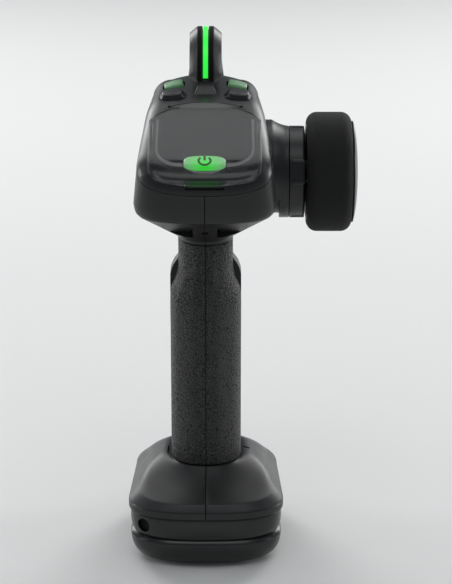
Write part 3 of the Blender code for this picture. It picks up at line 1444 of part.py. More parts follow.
turned(
    "wheel_shaft",
    [
        (0.0, web_x + RIM_WALL),
        (SHAFT_RADIUS, web_x + RIM_WALL),
        (SHAFT_RADIUS, shaft_start),
        (0.0, shaft_start),
    ],
    wheel_axis,
    STEEL,
    BORE_STEPS,
)
magnet_start = shaft_start - FIT_GAP - WALL
rod(
    "wheel_magnet",
    (magnet_start, WHEEL_Y, WHEEL_Z),
    (shaft_start - FIT_GAP, WHEEL_Y, WHEEL_Z),
    SHAFT_RADIUS,
    STEEL,
)
sensor_end = magnet_start - TURN_GAP
sensor_start = sensor_end - SENSOR_THICKNESS
turned(
    "wheel_sensor",
    [
        (0.0, sensor_end),
        (SENSOR_CAN, sensor_end),
        (SENSOR_CAN, spigot_in - FIT_GAP),
        (SPIGOT_RADIUS, spigot_in - FIT_GAP),
        (SPIGOT_RADIUS, sensor_start),
        (0.0, sensor_start),
    ],
    wheel_axis,
    BOARD_GREEN,
    BORE_STEPS,
)

# Trigger: a ring lever on its pin
def trigger_outline():
    outline = []
    for angle in spread(0.0, math.pi, HUB_STEPS + 1):
        y = TRIGGER_Y + TRIGGER_HUB * math.cos(angle)
        outline.append((y, TRIGGER_Z + TRIGGER_HUB * math.sin(angle)))
    start = math.radians(TRIGGER_RING_START_ANGLE)
    end = math.radians(TRIGGER_RING_END_ANGLE)
    for angle in spread(start, end, RING_STEPS + 1):
        y = TRIGGER_RING_Y + TRIGGER_RING_HALF_Y * math.cos(angle)
        z = TRIGGER_RING_Z + TRIGGER_RING_HALF_Z * math.sin(angle)
        outline.append((y, z))
    return outline


half_trigger = TRIGGER_WIDTH / 2
trigger = prism("trigger", trigger_outline(), "X", -half_trigger, half_trigger, HARD_BLACK)
finger = []
for step in range(BORE_STEPS):
    angle = 2 * math.pi * step / BORE_STEPS
    y = TRIGGER_RING_Y + (TRIGGER_RING_HALF_Y - TRIGGER_BAND) * math.cos(angle)
    z = TRIGGER_RING_Z + (TRIGGER_RING_HALF_Z - TRIGGER_BAND) * math.sin(angle)
    finger.append((y, z))
cut(trigger, prism("finger_hole", finger, "X", -OUTSIDE, OUTSIDE, None))
trigger_bore = rod(
    "trigger_bore",
    (-OUTSIDE, TRIGGER_Y, TRIGGER_Z),
    (OUTSIDE, TRIGGER_Y, TRIGGER_Z),
    TRIGGER_PIN_RADIUS + FIT_GAP / 2,
    None,
)
cut(trigger, trigger_bore)
spring_seat = box(
    "spring_seat",
    (half_trigger - WALL, TRIGGER_Y - OUTSIDE, TRIGGER_Z - SPRING_RADIUS - FIT_GAP),
    (OUTSIDE, TRIGGER_Y + OUTSIDE, TRIGGER_Z + OUTSIDE),
    None,
)
cut(trigger, spring_seat)
pin_start = (-pin_half, TRIGGER_Y, TRIGGER_Z)
pin_end = (pin_half, TRIGGER_Y, TRIGGER_Z)
rod("trigger_pin", pin_start, pin_end, TRIGGER_PIN_RADIUS, STEEL)
turned(
    "trigger_spring",
    [
        (TRIGGER_PIN_RADIUS + FIT_GAP, half_trigger + FIT_GAP),
        (SPRING_RADIUS, half_trigger + FIT_GAP),
        (SPRING_RADIUS, half_trigger - WALL + FIT_GAP),
        (TRIGGER_PIN_RADIUS + FIT_GAP, half_trigger - WALL + FIT_GAP),
    ],
    (0.0, TRIGGER_Y, TRIGGER_Z),
    STEEL,
    BORE_STEPS,
)
box(
    "trigger_sensor",
    (-rib_start - RIB_THICKNESS, rib_rear, rib_top + FIT_GAP),
    (rib_start + RIB_THICKNESS, rib_front, rib_top + FIT_GAP + SENSOR_THICKNESS),
    BOARD_GREEN,
)
set_origin(trigger, (0.0, TRIGGER_Y, TRIGGER_Z))
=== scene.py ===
import json
import math

import bmesh
import bpy
from mathutils import Matrix, Vector

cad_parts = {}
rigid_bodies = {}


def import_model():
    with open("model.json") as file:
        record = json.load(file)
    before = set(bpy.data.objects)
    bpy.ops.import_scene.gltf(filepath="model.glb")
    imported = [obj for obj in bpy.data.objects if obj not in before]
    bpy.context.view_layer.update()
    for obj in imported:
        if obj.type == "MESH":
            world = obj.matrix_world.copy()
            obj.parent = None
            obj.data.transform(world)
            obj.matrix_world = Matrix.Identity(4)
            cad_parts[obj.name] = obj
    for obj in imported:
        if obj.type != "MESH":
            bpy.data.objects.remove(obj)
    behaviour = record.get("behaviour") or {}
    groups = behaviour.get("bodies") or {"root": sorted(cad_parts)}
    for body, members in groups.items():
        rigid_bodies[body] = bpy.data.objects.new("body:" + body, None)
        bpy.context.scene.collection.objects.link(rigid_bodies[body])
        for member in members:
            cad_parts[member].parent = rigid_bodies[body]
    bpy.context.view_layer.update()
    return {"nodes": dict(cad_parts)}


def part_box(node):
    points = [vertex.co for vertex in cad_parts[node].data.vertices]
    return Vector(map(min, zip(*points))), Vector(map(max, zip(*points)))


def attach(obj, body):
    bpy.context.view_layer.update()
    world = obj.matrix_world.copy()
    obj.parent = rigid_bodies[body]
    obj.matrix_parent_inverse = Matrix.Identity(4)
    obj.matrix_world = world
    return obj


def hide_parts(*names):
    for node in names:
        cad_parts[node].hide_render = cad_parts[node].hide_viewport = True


for spare in list(bpy.data.objects):
    bpy.data.objects.remove(spare)

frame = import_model()
cadNodes = frame["nodes"]
print("frame loaded with", len(cadNodes), "nodes")

# camera, floor and light
shot = {
    "target": (0.0099, 0.0, 0.1299), "distance": 1.10, "elevation": 20.0, "near": 0.01,
    "focalPixels": 2245.0, "imageHeight": 584.0, "sensor": 36.0,
}
studio = {
    "floorColour": (0.80, 0.80, 0.79, 1.0), "floorRough": 0.7, "floorReach": 8.0, "floorCells": 8,
    "worldColour": (0.86, 0.93, 1.0, 1.0), "worldStrength": 0.22,
}
lamps = {  # place, height aimed at, width, height, watts, spread in degrees; off the middle they come in pairs
    "topBox": ((0.0, 0.62, 1.35), 0.20, 1.40, 0.80, 4.2, 180.0),
    "overheadBox": ((0.0, -0.55, 1.40), 0.05, 1.10, 0.50, 2.6, 180.0),
    "Box": ((0.66, 1.02, 0.80), 0.12, 0.55, 0.80, 4.6, 180.0),
    "Rim": ((0.95, 1.35, 0.54), 0.14, 0.34, 0.96, 4.2, 180.0),
    "Strip": ((2.30, -0.08, 1.45), 0.13, 0.46, 1.53, 4.0, 180.0),
    "Edge": ((1.90, 0.55, 0.34), 0.12, 0.40, 0.60, 0.27, 24.0),
}


def linked(name, data):
    made = bpy.data.objects.new(name, data)
    bpy.context.scene.collection.objects.link(made)
    return made


def aimed(place, target):
    return (Vector(target) - Vector(place)).to_track_quat("-Z", "Y").to_euler()


def setCamera():
    tilt = math.radians(shot["elevation"])
    back = Vector((0.0, -math.cos(tilt), math.sin(tilt)))
    data = bpy.data.cameras.new("shotCamera")
    data.sensor_width = shot["sensor"]
    data.lens = shot["focalPixels"] / shot["imageHeight"] * shot["sensor"]
    data.clip_start = shot["near"]
    camera = linked("shotCamera", data)
    camera.location = Vector(shot["target"]) + back * shot["distance"]
    camera.rotation_euler = aimed(camera.location, shot["target"])
    bpy.context.scene.camera = camera


def setLamps():
    for name, (place, aimZ, width, height, watts, fan) in lamps.items():
        for label, side in (("left", -1), ("right", 1)) if place[0] else (("", 1),):
            data = bpy.data.lights.new(label + name, "AREA")
            data.shape = "RECTANGLE"
            data.size, data.size_y = width, height
            data.energy = watts
            data.spread = math.radians(fan)
            lamp = linked(label + name, data)
            lamp.location = (side * place[0], place[1], place[2])
            lamp.rotation_euler = aimed(lamp.location, (0.0, 0.0, aimZ))


def setFloor():
    data = bmesh.new()
    cells = studio["floorCells"]
    bmesh.ops.create_grid(data, x_segments=cells, y_segments=cells, size=studio["floorReach"] / 2)
    mesh = bpy.data.meshes.new("studioFloor")
    data.to_mesh(mesh)
    data.free()
    paint = bpy.data.materials.new("floorPaint")
    paint.use_nodes = True
    shader = paint.node_tree.nodes["Principled BSDF"]
    shader.inputs["Base Color"].default_value = studio["floorColour"]
    shader.inputs["Roughness"].default_value = studio["floorRough"]
    mesh.materials.append(paint)
    floor = linked("studioFloor", mesh)


def setWorld():
    world = bpy.data.worlds.new("studioWorld")
    world.use_nodes = True
    sky = world.node_tree.nodes["Background"]
    sky.inputs["Color"].default_value = studio["worldColour"]
    sky.inputs["Strength"].default_value = studio["worldStrength"]
    bpy.context.scene.world = world
    bpy.context.scene.view_settings.view_transform = "Standard"


setCamera()
setLamps()
setFloor()
setWorld()
print("camera and studio set")

# shader groups
socketKinds = {1: "NodeSocketFloat", 3: "NodeSocketVector", 4: "NodeSocketColor"}
firstColour, secondColour, mixedColour = 6, 7, 2  # sockets of a mix node set to colours


def newGroup(name, inputs, outputs, kind=socketKinds[1]):
    group = bpy.data.node_groups.new(name, "ShaderNodeTree")
    for label, value in (("Place", (0.0, 0.0, 0.0)), *inputs.items()):
        size = len(value) if isinstance(value, tuple) else 1
        socket = group.interface.new_socket(label, in_out="INPUT", socket_type=socketKinds[size])
        socket.default_value = value
    for label in outputs:
        group.interface.new_socket(label, in_out="OUTPUT", socket_type=kind)
    return group, group.nodes.new("NodeGroupInput").outputs, group.nodes.new("NodeGroupOutput").inputs


def addNode(tree, kind, wires, **settings):
    made = tree.nodes.new(kind)
    for key, value in settings.items():
        setattr(made, key, value)
    for key, source in wires.items():
        if hasattr(source, "is_output"):
            tree.links.new(source, made.inputs[key])
        else:
            made.inputs[key].default_value = source
    return made


def mapped(tree, value, low, high, newLow, newHigh):
    wires = {"Value": value, "From Min": low, "From Max": high, "To Min": newLow, "To Max": newHigh}
    return addNode(tree, "ShaderNodeMapRange", wires).outputs["Result"]


def mathOf(tree, operation, first, second):
    return addNode(tree, "ShaderNodeMath", {0: first, 1: second}, operation=operation).outputs[0]


def noiseOf(tree, place, scale, detail, output="Fac"):
    wires = {"Vector": place, "Scale": scale, "Detail": detail}
    return addNode(tree, "ShaderNodeTexNoise", wires).outputs[output]


def cellsOf(tree, place, scale, feature):
    wires = {"Vector": place, "Scale": scale}
    return addNode(tree, "ShaderNodeTexVoronoi", wires, feature=feature).outputs["Distance"]


def moldGrainGroup():
    group, given, result = newGroup("moldGrain", {"Grain Scale": 2600.0, "Cloud Scale": 45.0}, ("Height", "Cloud"))
    cloud = noiseOf(group, given["Place"], given["Cloud Scale"], 3.0)
    group.links.new(noiseOf(group, given["Place"], given["Grain Scale"], 2.0), result["Height"])
    group.links.new(mapped(group, cloud, 0.3, 0.7, 0.0, 1.0), result["Cloud"])
    return group


def leatherGroup():
    group, given, result = newGroup("leatherPebble", {"Pebble Scale": 900.0, "Warp": 0.0006}, ("Height", "Crease"))
    place, scale = given["Place"], given["Pebble Scale"]
    warp = noiseOf(group, place, scale, 1.0, "Color")
    shift = addNode(group, "ShaderNodeVectorMath", {0: warp, "Scale": given["Warp"]}, operation="SCALE")
    moved = addNode(group, "ShaderNodeVectorMath", {0: place, 1: shift.outputs[0]}, operation="ADD")
    pebble = mapped(group, cellsOf(group, moved.outputs[0], scale, "DISTANCE_TO_EDGE"), 0.0, 0.18, 0.0, 1.0)
    speck = mathOf(group, "MULTIPLY", noiseOf(group, place, 2400.0, 2.0), 0.35)
    group.links.new(mathOf(group, "ADD", mathOf(group, "POWER", pebble, 0.6), speck), result["Height"])
    # Crease is 1 in the creases between pebbles; the leather finish paints shade there and a lighter painted sheen
    # on the pebble tops
    group.links.new(mapped(group, pebble, 0.0, 0.7, 1.0, 0.0), result["Crease"])
    return group


def foamGroup():
    group, given, result = newGroup("foamPores", {"Pore Scale": 1500.0}, ("Height", "Pore"))
    cells = cellsOf(group, given["Place"], given["Pore Scale"], "F1")
    pit = mapped(group, cells, 0.1, 0.55, 0.0, 1.0)
    speck = noiseOf(group, given["Place"], 700.0, 4.0)
    group.links.new(mathOf(group, "ADD", pit, speck), result["Height"])
    # Pore is 1 at the pits; the foam finish paints shade there, colouring the pits darker
    group.links.new(mapped(group, cells, 0.0, 0.35, 1.0, 0.0), result["Pore"])
    return group


def glowGroup():
    dark = (0.0, 0.0, 0.0, 1.0)
    inputs = {"Centre": (0.0, 0.0, 0.0), "Reach": 0.008, "Core": dark, "Edge": dark}
    group, given, result = newGroup("lampGlow", inputs, ("Colour",), socketKinds[4])
    wires = {0: given["Place"], 1: given["Centre"]}
    away = addNode(group, "ShaderNodeVectorMath", wires, operation="DISTANCE").outputs["Value"]
    share = mathOf(group, "DIVIDE", away, given["Reach"])
    speck = mathOf(group, "MULTIPLY", noiseOf(group, given["Place"], 500.0, 2.0), 0.25)
    factor = mapped(group, mathOf(group, "ADD", share, speck), 0.25, 1.15, 0.0, 1.0)
    wires = {"Factor": factor, firstColour: given["Core"], secondColour: given["Edge"]}
    mix = addNode(group, "ShaderNodeMix", wires, data_type="RGBA")
    group.links.new(mix.outputs[mixedColour], result["Colour"])
    return group


moldGrain = moldGrainGroup()
leatherPebble = leatherGroup()
foamPores = foamGroup()
lampGlow = glowGroup()


def newMaterial(name, group, values, sockets):
    made = bpy.data.materials.new(name)
    made.use_nodes = True
    tree = made.node_tree
    shader = tree.nodes["Principled BSDF"]
    part = tree.nodes.new("ShaderNodeGroup")
    part.node_tree = group
    tree.links.new(tree.nodes.new("ShaderNodeTexCoord").outputs["Object"], part.inputs["Place"])
    for node, given in ((shader, sockets), (part, values)):
        for label, value in given.items():
            node.inputs[label].default_value = value
    return made, tree, shader.inputs, part.outputs


def finishOf(name, group, mask, tones, roughness, bump=None, values=None, sockets=None):
    made, tree, inputs, part = newMaterial(name, group, values or {}, sockets or {})
    wires = {"Factor": part[mask], firstColour: (*tones[0], 1.0), secondColour: (*tones[1], 1.0)}
    mix = addNode(tree, "ShaderNodeMix", wires, data_type="RGBA")
    tree.links.new(mix.outputs[mixedColour], inputs["Base Color"])
    tree.links.new(mapped(tree, part[mask], 0.0, 1.0, *roughness), inputs["Roughness"])
    if bump:
        wires = {"Height": part["Height"], "Strength": bump[0], "Distance": bump[1]}
        tree.links.new(addNode(tree, "ShaderNodeBump", wires).outputs["Normal"], inputs["Normal"])
    return made


moldLook = {"smoother": 0.03, "rougher": 0.04, "bump": 0.35}


def moldedPlastic(name, dark, light, rough, grain=2600.0, depth=0.00003, sockets=None):
    roughness = rough - moldLook["smoother"], rough + moldLook["rougher"]
    bump, values = (moldLook["bump"], depth), {"Grain Scale": grain}
    return finishOf(name, moldGrain, "Cloud", (dark, light), roughness, bump, values, sockets)


def litPlastic(name, core, edge, centre, reach, glow, rough=0.3):
    values = {"Centre": centre, "Reach": reach, "Core": (*core, 1.0), "Edge": (*edge, 1.0)}
    sockets = {"Emission Strength": glow, "Roughness": rough}
    made, tree, inputs, part = newMaterial(name, lampGlow, values, sockets)
    for label in ("Base Color", "Emission Color"):
        tree.links.new(part["Colour"], inputs[label])
    return made


finishes = {
    "hard": moldedPlastic("hardPlastic", (0.0085, 0.0085, 0.009), (0.0115, 0.0115, 0.012), 0.38),
    "satin": moldedPlastic("satinPlastic", (0.009, 0.009, 0.0095), (0.012, 0.012, 0.0125), 0.34, 3400.0),
    "smooth": moldedPlastic("smoothPlastic", (0.0085, 0.0085, 0.009), (0.0115, 0.0115, 0.012), 0.24, 3400.0),
    "key": moldedPlastic("keyPlastic", (0.012, 0.012, 0.013), (0.016, 0.016, 0.017), 0.30, 3400.0),
    "rubber": moldedPlastic("softRubber", (0.010, 0.010, 0.010), (0.015, 0.015, 0.015), 0.72, 1800.0, 0.00006),
    # painted shade and sheen: the creases between pebbles are coloured dark and the pebble tops light
    "leather": finishOf(
        "leatherRubber", leatherPebble, "Crease", ((0.064, 0.064, 0.064), (0.010, 0.010, 0.010)),
        (0.40, 0.80), (1.0, 0.0009), {"Pebble Scale": 780.0}, {"Specular IOR Level": 0.42},
    ),
    # painted shade: the pores are coloured darker than the foam around them
    "foam": finishOf(
        "foamRubber", foamPores, "Pore", ((0.015, 0.015, 0.015), (0.003, 0.003, 0.003)),
        (0.82, 0.97), (0.7, 0.00016), None, {"Specular IOR Level": 0.3},
    ),
    "smoked": finishOf(
        "smokedClear", moldGrain, "Cloud", ((0.27, 0.275, 0.28), (0.30, 0.305, 0.31)), (0.19, 0.23), None,
        {"Grain Scale": 900.0, "Cloud Scale": 30.0}, {"Transmission Weight": 1.0, "IOR": 1.47, "Metallic": 0.0},
    ),
    # painted light: the grey strip glows a little, standing in for the light that reaches it through the smoked
    # cover
    "strip": moldedPlastic(
        "stripGrey", (0.54, 0.54, 0.54), (0.60, 0.60, 0.60), 0.38,
        sockets={"Emission Color": (0.80, 0.82, 0.81, 1.0), "Emission Strength": 0.22},
    ),
    "steel": finishOf(
        "turnedSteel", moldGrain, "Cloud", ((0.40, 0.40, 0.41), (0.56, 0.56, 0.57)), (0.24, 0.38),
        (0.2, 0.00002), {"Grain Scale": 3200.0, "Cloud Scale": 160.0}, {"Metallic": 1.0},
    ),
    "board": moldedPlastic("boardGreen", (0.012, 0.085, 0.035), (0.020, 0.125, 0.052), 0.45, 1400.0),
    "cell": moldedPlastic("cellSleeve", (0.035, 0.09, 0.24), (0.05, 0.12, 0.30), 0.35),
    "display": moldedPlastic("displayDark", (0.012, 0.013, 0.014), (0.016, 0.017, 0.018), 0.62, 4000.0, 0.00001),
    # painted shade: an extra-dark, low-sheen black for the port lid down in its hole and for the thin sheet over the
    # loop's lane, both darker than the black plastic
    "socket": moldedPlastic(
        "shadeBlack", (0.003, 0.003, 0.003), (0.005, 0.005, 0.005), 0.65, sockets={"Specular IOR Level": 0.15},
    ),
    "mark": moldedPlastic("darkGreenMark", (0.004, 0.050, 0.008), (0.006, 0.065, 0.011), 0.4),
}
print("finishes made:", len(finishes))

# mesh tools
tiny = 0.000001
noArea = 1e-14


def newPiece(name, data):
    bmesh.ops.recalc_face_normals(data, faces=data.faces[:])
    if data.calc_volume(signed=True) < 0:
        bmesh.ops.reverse_faces(data, faces=data.faces[:])
    mesh = bpy.data.meshes.new(name)
    data.to_mesh(mesh)
    data.free()
    return linked(name, mesh)


def addSides(data, low, high):
    for index in range(len(low)):
        after = (index + 1) % len(low)
        data.faces.new((low[index], low[after], high[after], high[index]))


def addLoft(data, rings, crown=None):
    rows = [[data.verts.new(point) for point in ring] for ring in rings]
    for low, high in zip(rows, rows[1:]):
        addSides(data, low, high)
    closeEnd(data, rows[0], None)
    closeEnd(data, rows[-1], crown)


def closeEnd(data, row, crown, steps=14):
    count = len(row)
    rungs = []
    for index in range(count // 2):
        start, end = row[index], row[count - 1 - index]
        rung = [start]
        if crown and 0 < index < count // 2 - 1:
            for share in spread(0.0, 1.0, steps + 1)[1:-1]:
                point = start.co.lerp(end.co, share)
                point.z += crown(point.y) * (1 - (2 * share - 1) ** 2)
                rung.append(data.verts.new(point))
        rungs.append(rung + [end])
    for one, two in zip(rungs, rungs[1:]):
        if len(one) != len(two):
            data.faces.new(one + two[::-1])
            continue
        for step in range(len(one) - 1):
            data.faces.new((one[step], two[step], two[step + 1], one[step + 1]))


def loft(name, rings, crown=None):
    data = bmesh.new()
    addLoft(data, rings, crown)
    return newPiece(name, data)


def loftPair(name, rings):
    return loft(name + "_right", rings), loft(name + "_left", [mirrored(ring) for ring in rings])


def mirrored(ring):
    return [Vector((-point.x, point.y, point.z)) for point in ring]


def turned(name, profile, steps=96, swell=None):
    data = bmesh.new()
    rows = []
    for angle in fullTurn(steps):
        row = []
        for radius, along in profile:
            radius += swell(radius, along, angle) if swell else 0.0
            spot = (along, wheel["y"] + radius * math.sin(angle), wheel["z"] + radius * math.cos(angle))
            row.append(data.verts.new(spot))
        rows.append(row)
    count = len(profile)
    toAxis = min(radius for radius, along in profile) == 0.0
    for one, two in zip(rows, rows[1:] + rows[:1]):
        for index in range(count - 1 if toAxis else count):
            after = (index + 1) % count
            data.faces.new((one[index], one[after], two[after], two[index]))
    bmesh.ops.remove_doubles(data, verts=data.verts[:], dist=tiny)
    loose = [face for face in data.faces if face.calc_area() < noArea]
    bmesh.ops.delete(data, geom=loose, context="FACES_ONLY")
    return newPiece(name, data)


def prism(name, outline, axis, start, end):
    data = bmesh.new()
    rows = []
    for level in (start, end):
        spots = [(level, a, b) if axis == "X" else (a, b, level) for a, b in outline]
        rows.append([data.verts.new(spot) for spot in spots])
    addSides(data, *rows)
    for row in rows:
        data.faces.new(row)
    return newPiece(name, data)


def boxBetween(name, low, high):
    outline = [(low[0], low[1]), (high[0], low[1]), (high[0], high[1]), (low[0], high[1])]
    return prism(name, outline, "Z", low[2], high[2])


def rodBetween(name, start, end, radius, steps=40):
    start, end = Vector(start), Vector(end)
    data = bmesh.new()
    bmesh.ops.create_cone(
        data, cap_ends=True, segments=steps, radius1=radius, radius2=radius, depth=(end - start).length,
    )
    turn = (end - start).to_track_quat("Z", "Y").to_matrix().to_4x4()
    bmesh.ops.transform(data, matrix=Matrix.Translation((start + end) / 2) @ turn, verts=data.verts[:])
    return newPiece(name, data)


def changed(target, others, operation="DIFFERENCE"):
    for other in others:
        step = target.modifiers.new(operation.lower(), "BOOLEAN")
        step.operation = operation
        step.solver = "EXACT"
        step.object = other
        settled(target)
        bpy.data.objects.remove(other)


def settled(target):
    bpy.context.view_layer.update()
    graph = bpy.context.evaluated_depsgraph_get()
    mesh = bpy.data.meshes.new_from_object(target.evaluated_get(graph))
    target.modifiers.clear()
    old = target.data
    target.data = mesh
    bpy.data.meshes.remove(old)
    mesh.name = target.name


def eased(target, width, segments, angle):
    step = target.modifiers.new("ease", "BEVEL")
    step.width = width
    step.segments = segments
    step.limit_method = "ANGLE"
    step.angle_limit = math.radians(angle)
    settled(target)


def cleaned(mesh, reach=0.0000008):
    data = bmesh.new()
    data.from_mesh(mesh)
    bmesh.ops.remove_doubles(data, verts=data.verts, dist=reach)
    bmesh.ops.dissolve_degenerate(data, dist=reach, edges=data.edges)
    data.to_mesh(mesh)
    data.free()


def dressed(target, body, finish, slotName, *standsFor, angle=32.0):
    mesh = target.data
    cleaned(mesh)
    mesh.materials.clear()
    mesh.materials.append(finishes[finish] if isinstance(finish, str) else finish)
    for face in mesh.polygons:
        face.material_index = 0
    mesh.shade_smooth()
    mesh.set_sharp_from_angle(angle=math.radians(angle))
    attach(target, body)
    if standsFor:
        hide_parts(*standsFor)


def spread(start, end, count):
    return [start + (end - start) * index / (count - 1) for index in range(count)]


def quarterTurn(steps):
    return [math.pi / 2 * step / steps for step in range(steps + 1)]


def fullTurn(steps):
    return [2 * math.pi * step / steps for step in range(steps)]


def clamped(value):
    return min(max(value, 0.0), 1.0)


def eased01(value):
    part = clamped(value)
    return part * part * (3 - 2 * part)


def mixed(a, b, share):
    return a + (b - a) * share


def rounded(width, depth, radius, steps):
    outline = []
    for side, end, start in ((1, 1, 90), (1, -1, 0), (-1, -1, -90), (-1, 1, -180)):
        for step in range(steps + 1):
            angle = math.radians(start - 90 * step / steps)
            x = side * (width / 2 - radius) + radius * math.cos(angle)
            outline.append((x, end * (depth / 2 - radius) + radius * math.sin(angle)))
    return outline


def oblong(width, depth, power, steps=40):
    right = []
    for step in range(steps + 1):
        angle = math.pi * (0.5 - (step + 0.15) / (steps + 0.3))
        away = math.copysign(abs(math.sin(angle)) ** (2 / power), math.sin(angle))
        right.append((width / 2 * math.cos(angle) ** (2 / power), depth / 2 * away))
    return right + [(-x, y) for x, y in reversed(right)]


def stacked(name, layers, place, tilt=0.0, steps=10, crown=0.0, lean=0.0, power=0.0):
    turn = Matrix.Translation(place) @ Matrix.Rotation(lean, 4, "Y") @ Matrix.Rotation(tilt, 4, "X")
    rings = []
    for width, depth, radius, height in layers:
        outline = oblong(width, depth, power) if power else rounded(width, depth, radius, steps)
        rings.append([turn @ Vector((x, y, height)) for x, y in outline])
    return loft(name, rings, (lambda y: crown) if crown else None)


def ringMix(one, two, share):
    return [a.lerp(b, share) for a, b in zip(one, two)]


def ringAway(one, two):
    return max(sum((a - b).length for a, b in zip(one, two)) / len(one), tiny)


# rings between the given rows, on a curve through them
def smoothRows(rows, samples):
    marks = [0.0]
    for one, two in zip(rows, rows[1:]):
        marks.append(marks[-1] + ringAway(one, two))
    slopes = []
    for index in range(len(rows)):
        low, high = max(index - 1, 0), min(index + 1, len(rows) - 1)
        run = marks[high] - marks[low]
        slopes.append([(b - a) / run for a, b in zip(rows[low], rows[high])])
    made = [rows[0]]
    for index in range(len(rows) - 1):
        run = marks[index + 1] - marks[index]
        for step in range(1, samples + 1):
            t = step / samples
            h1, h2 = 2 * t**3 - 3 * t**2 + 1, t**3 - 2 * t**2 + t
            h3, h4 = -2 * t**3 + 3 * t**2, t**3 - t**2
            made.append([
                a * h1 + sa * (h2 * run) + b * h3 + sb * (h4 * run)
                for a, sa, b, sb in zip(rows[index], slopes[index], rows[index + 1], slopes[index + 1])
            ])
    return made


def cornerRows(before, corner, after, reach, most=0.45):
    low = ringMix(corner, before, min(most, reach / ringAway(before, corner)))
    high = ringMix(corner, after, min(most, reach / ringAway(after, corner)))
    made = []
    for t in (0.0, 0.25, 0.5, 0.75, 1.0):
        shares = (1 - t) ** 2, 2 * t * (1 - t), t**2
        made.append([a * shares[0] + b * shares[1] + c * shares[2] for a, b, c in zip(low, corner, high)])
    return made


def joinedRows(chunks, reach):
    rows = list(chunks[0])
    for chunk, ease in zip(chunks[1:], reach):
        corner = rows.pop()
        rows += cornerRows(rows[-1], corner, chunk[1], ease) if ease else [corner]
        rows += chunk[1:]
    return rows


# sections of base, grip and head
fits = {"seam": 0.0003, "fit": 0.0003, "slide": 0.0004, "turn": 0.0008, "wall": 0.0022, "ease": 0.0002}
base = {
    "width": 0.0764, "depth": 0.0880, "corner": 0.0210, "cornerFront": 0.0280, "taper": 0.0046, "power": 2.6,
    "seamZ": 0.0274, "lip": 0.0036, "step": 0.0009, "capTop": 0.0153, "capLow": 0.0008, "capCurve": 0.0105,
    "creaseZ": 0.0343, "creaseLift": 0.0014, "creaseRear": 0.0030, "creaseSide": 0.0046, "domeLift": 0.0046,
    "frontFade": 0.45, "shoulder": 0.0020, "bevel": 1.7, "capPower": 0.62, "domeRound": 0.0060, "domeSoft": 0.35,
}
grip = {
    "width": 0.0346, "rear": -0.0210, "front": 0.0190, "cornerRear": 0.0170, "cornerFront": 0.0110,
    "power": 2.3, "footZ": 0.0460, "taperZ": 0.1300, "rubberNeckZ": 0.1465, "shoulderZ": 0.1405,
    "neckLowZ": 0.1490, "neckWidth": 0.0266, "neckRear": -0.0190, "neckFront": 0.0160,
    "rubberTopZ": 0.1604, "rubber": 0.0016, "straight": 0.0200,
}
head = {
    "neckZ": 0.1620, "lowZ": 0.1796, "lowWidth": 0.0626, "lowRear": -0.0446, "lowFront": 0.0590,
    "edge": 0.0060, "width": 0.0672, "rear": -0.0460, "front": 0.0640, "tipWidth": 0.0520,
    "seamWidth": 0.0640, "cornerRear": 0.0165, "cornerFront": 0.0300, "power": 2.6,
    "seamRearZ": 0.1933, "seamPeakZ": 0.2165, "seamPeakY": 0.0340, "funnelWall": 0.0062,
}
deck = {
    "coverZ": 0.2052, "coverY": -0.0410, "hingeY": 0.0050, "hingeZ": 0.2242, "frontY": 0.0350,
    "frontZ": 0.2266, "noseFall": 12.5, "round": 0.0085, "shelf": 0.0042, "crown": 0.0028, "hingeCrown": 0.0010,
}
fine = {"corner": 20, "side": 12, "run": 0.0004, "flat": 0.0004}
domeStops = (0.0, 0.2, 0.45, 0.72, 0.9, 1.0)
domeLifts = (base["creaseLift"] / base["domeLift"], 0.85, 1.0, 0.8, 0.4, 0.0)
domeRises = (0.7, 0.9, 1.0, 1.0, 0.8)


def section(level, rear, front, width, cornerRear, cornerFront, power, **more):
    side = more.get("side", width)
    return {
        "level": level if callable(level) else (lambda y: level), "rear": rear, "front": front,
        "rearHalf": width / 2, "sideHalf": side / 2, "tipHalf": more.get("tip", side) / 2,
        "cornerRear": cornerRear, "cornerFront": cornerFront, "power": power,
        "recess": more.get("recess", 0.0), "wallRear": more.get("wallRear", fits["wall"]),
        "rise": more.get("rise", 0.0),
    }


def halfOutline(part, inset, insetRear, seam):
    share = 2 / part["power"]
    turnY = part["rear"] + part["cornerRear"]
    tipY = part["front"] - part["cornerFront"]
    rear = part["rear"] + insetRear + part["recess"]
    rearHalf = part["rearHalf"] - inset - part["recess"]
    sideHalf, tipHalf = part["sideHalf"] - inset, part["tipHalf"] - inset
    front = part["front"] - inset
    points = []
    for angle in quarterTurn(fine["corner"]):
        along = turnY - (turnY - rear) * abs(math.cos(angle)) ** share
        points.append((max(rearHalf * math.sin(angle) ** share, seam), along))
    for step in range(fine["side"]):
        past = step / fine["side"]
        along = turnY + fine["run"] + (tipY - turnY - fine["run"]) * past
        points.append((sideHalf + (tipHalf - sideHalf) * past, along))
    for angle in quarterTurn(fine["corner"]):
        along = tipY + (front - tipY) * math.sin(angle) ** share
        points.append((max(tipHalf * abs(math.cos(angle)) ** share, seam), along))
    return points


def stripRing(outer, inner, ease):
    def endRound(corner, along, inward):
        one = corner + (along - corner).normalized() * ease
        two = corner + (inward - corner).normalized() * ease
        return [two, corner * 0.5 + (one + two) * 0.25, one]

    def endPair(corner, along):
        return [corner, corner.lerp(along, 0.1), corner.lerp(along, 0.2)]

    ring = endRound(outer[0], outer[1], inner[0]) + outer[1:-1]
    ring += reversed(endRound(outer[-1], outer[-2], inner[-1]))
    back = endPair(inner[0], inner[1]) + inner[1:-1] + list(reversed(endPair(inner[-1], inner[-2])))
    return ring + list(reversed(back))


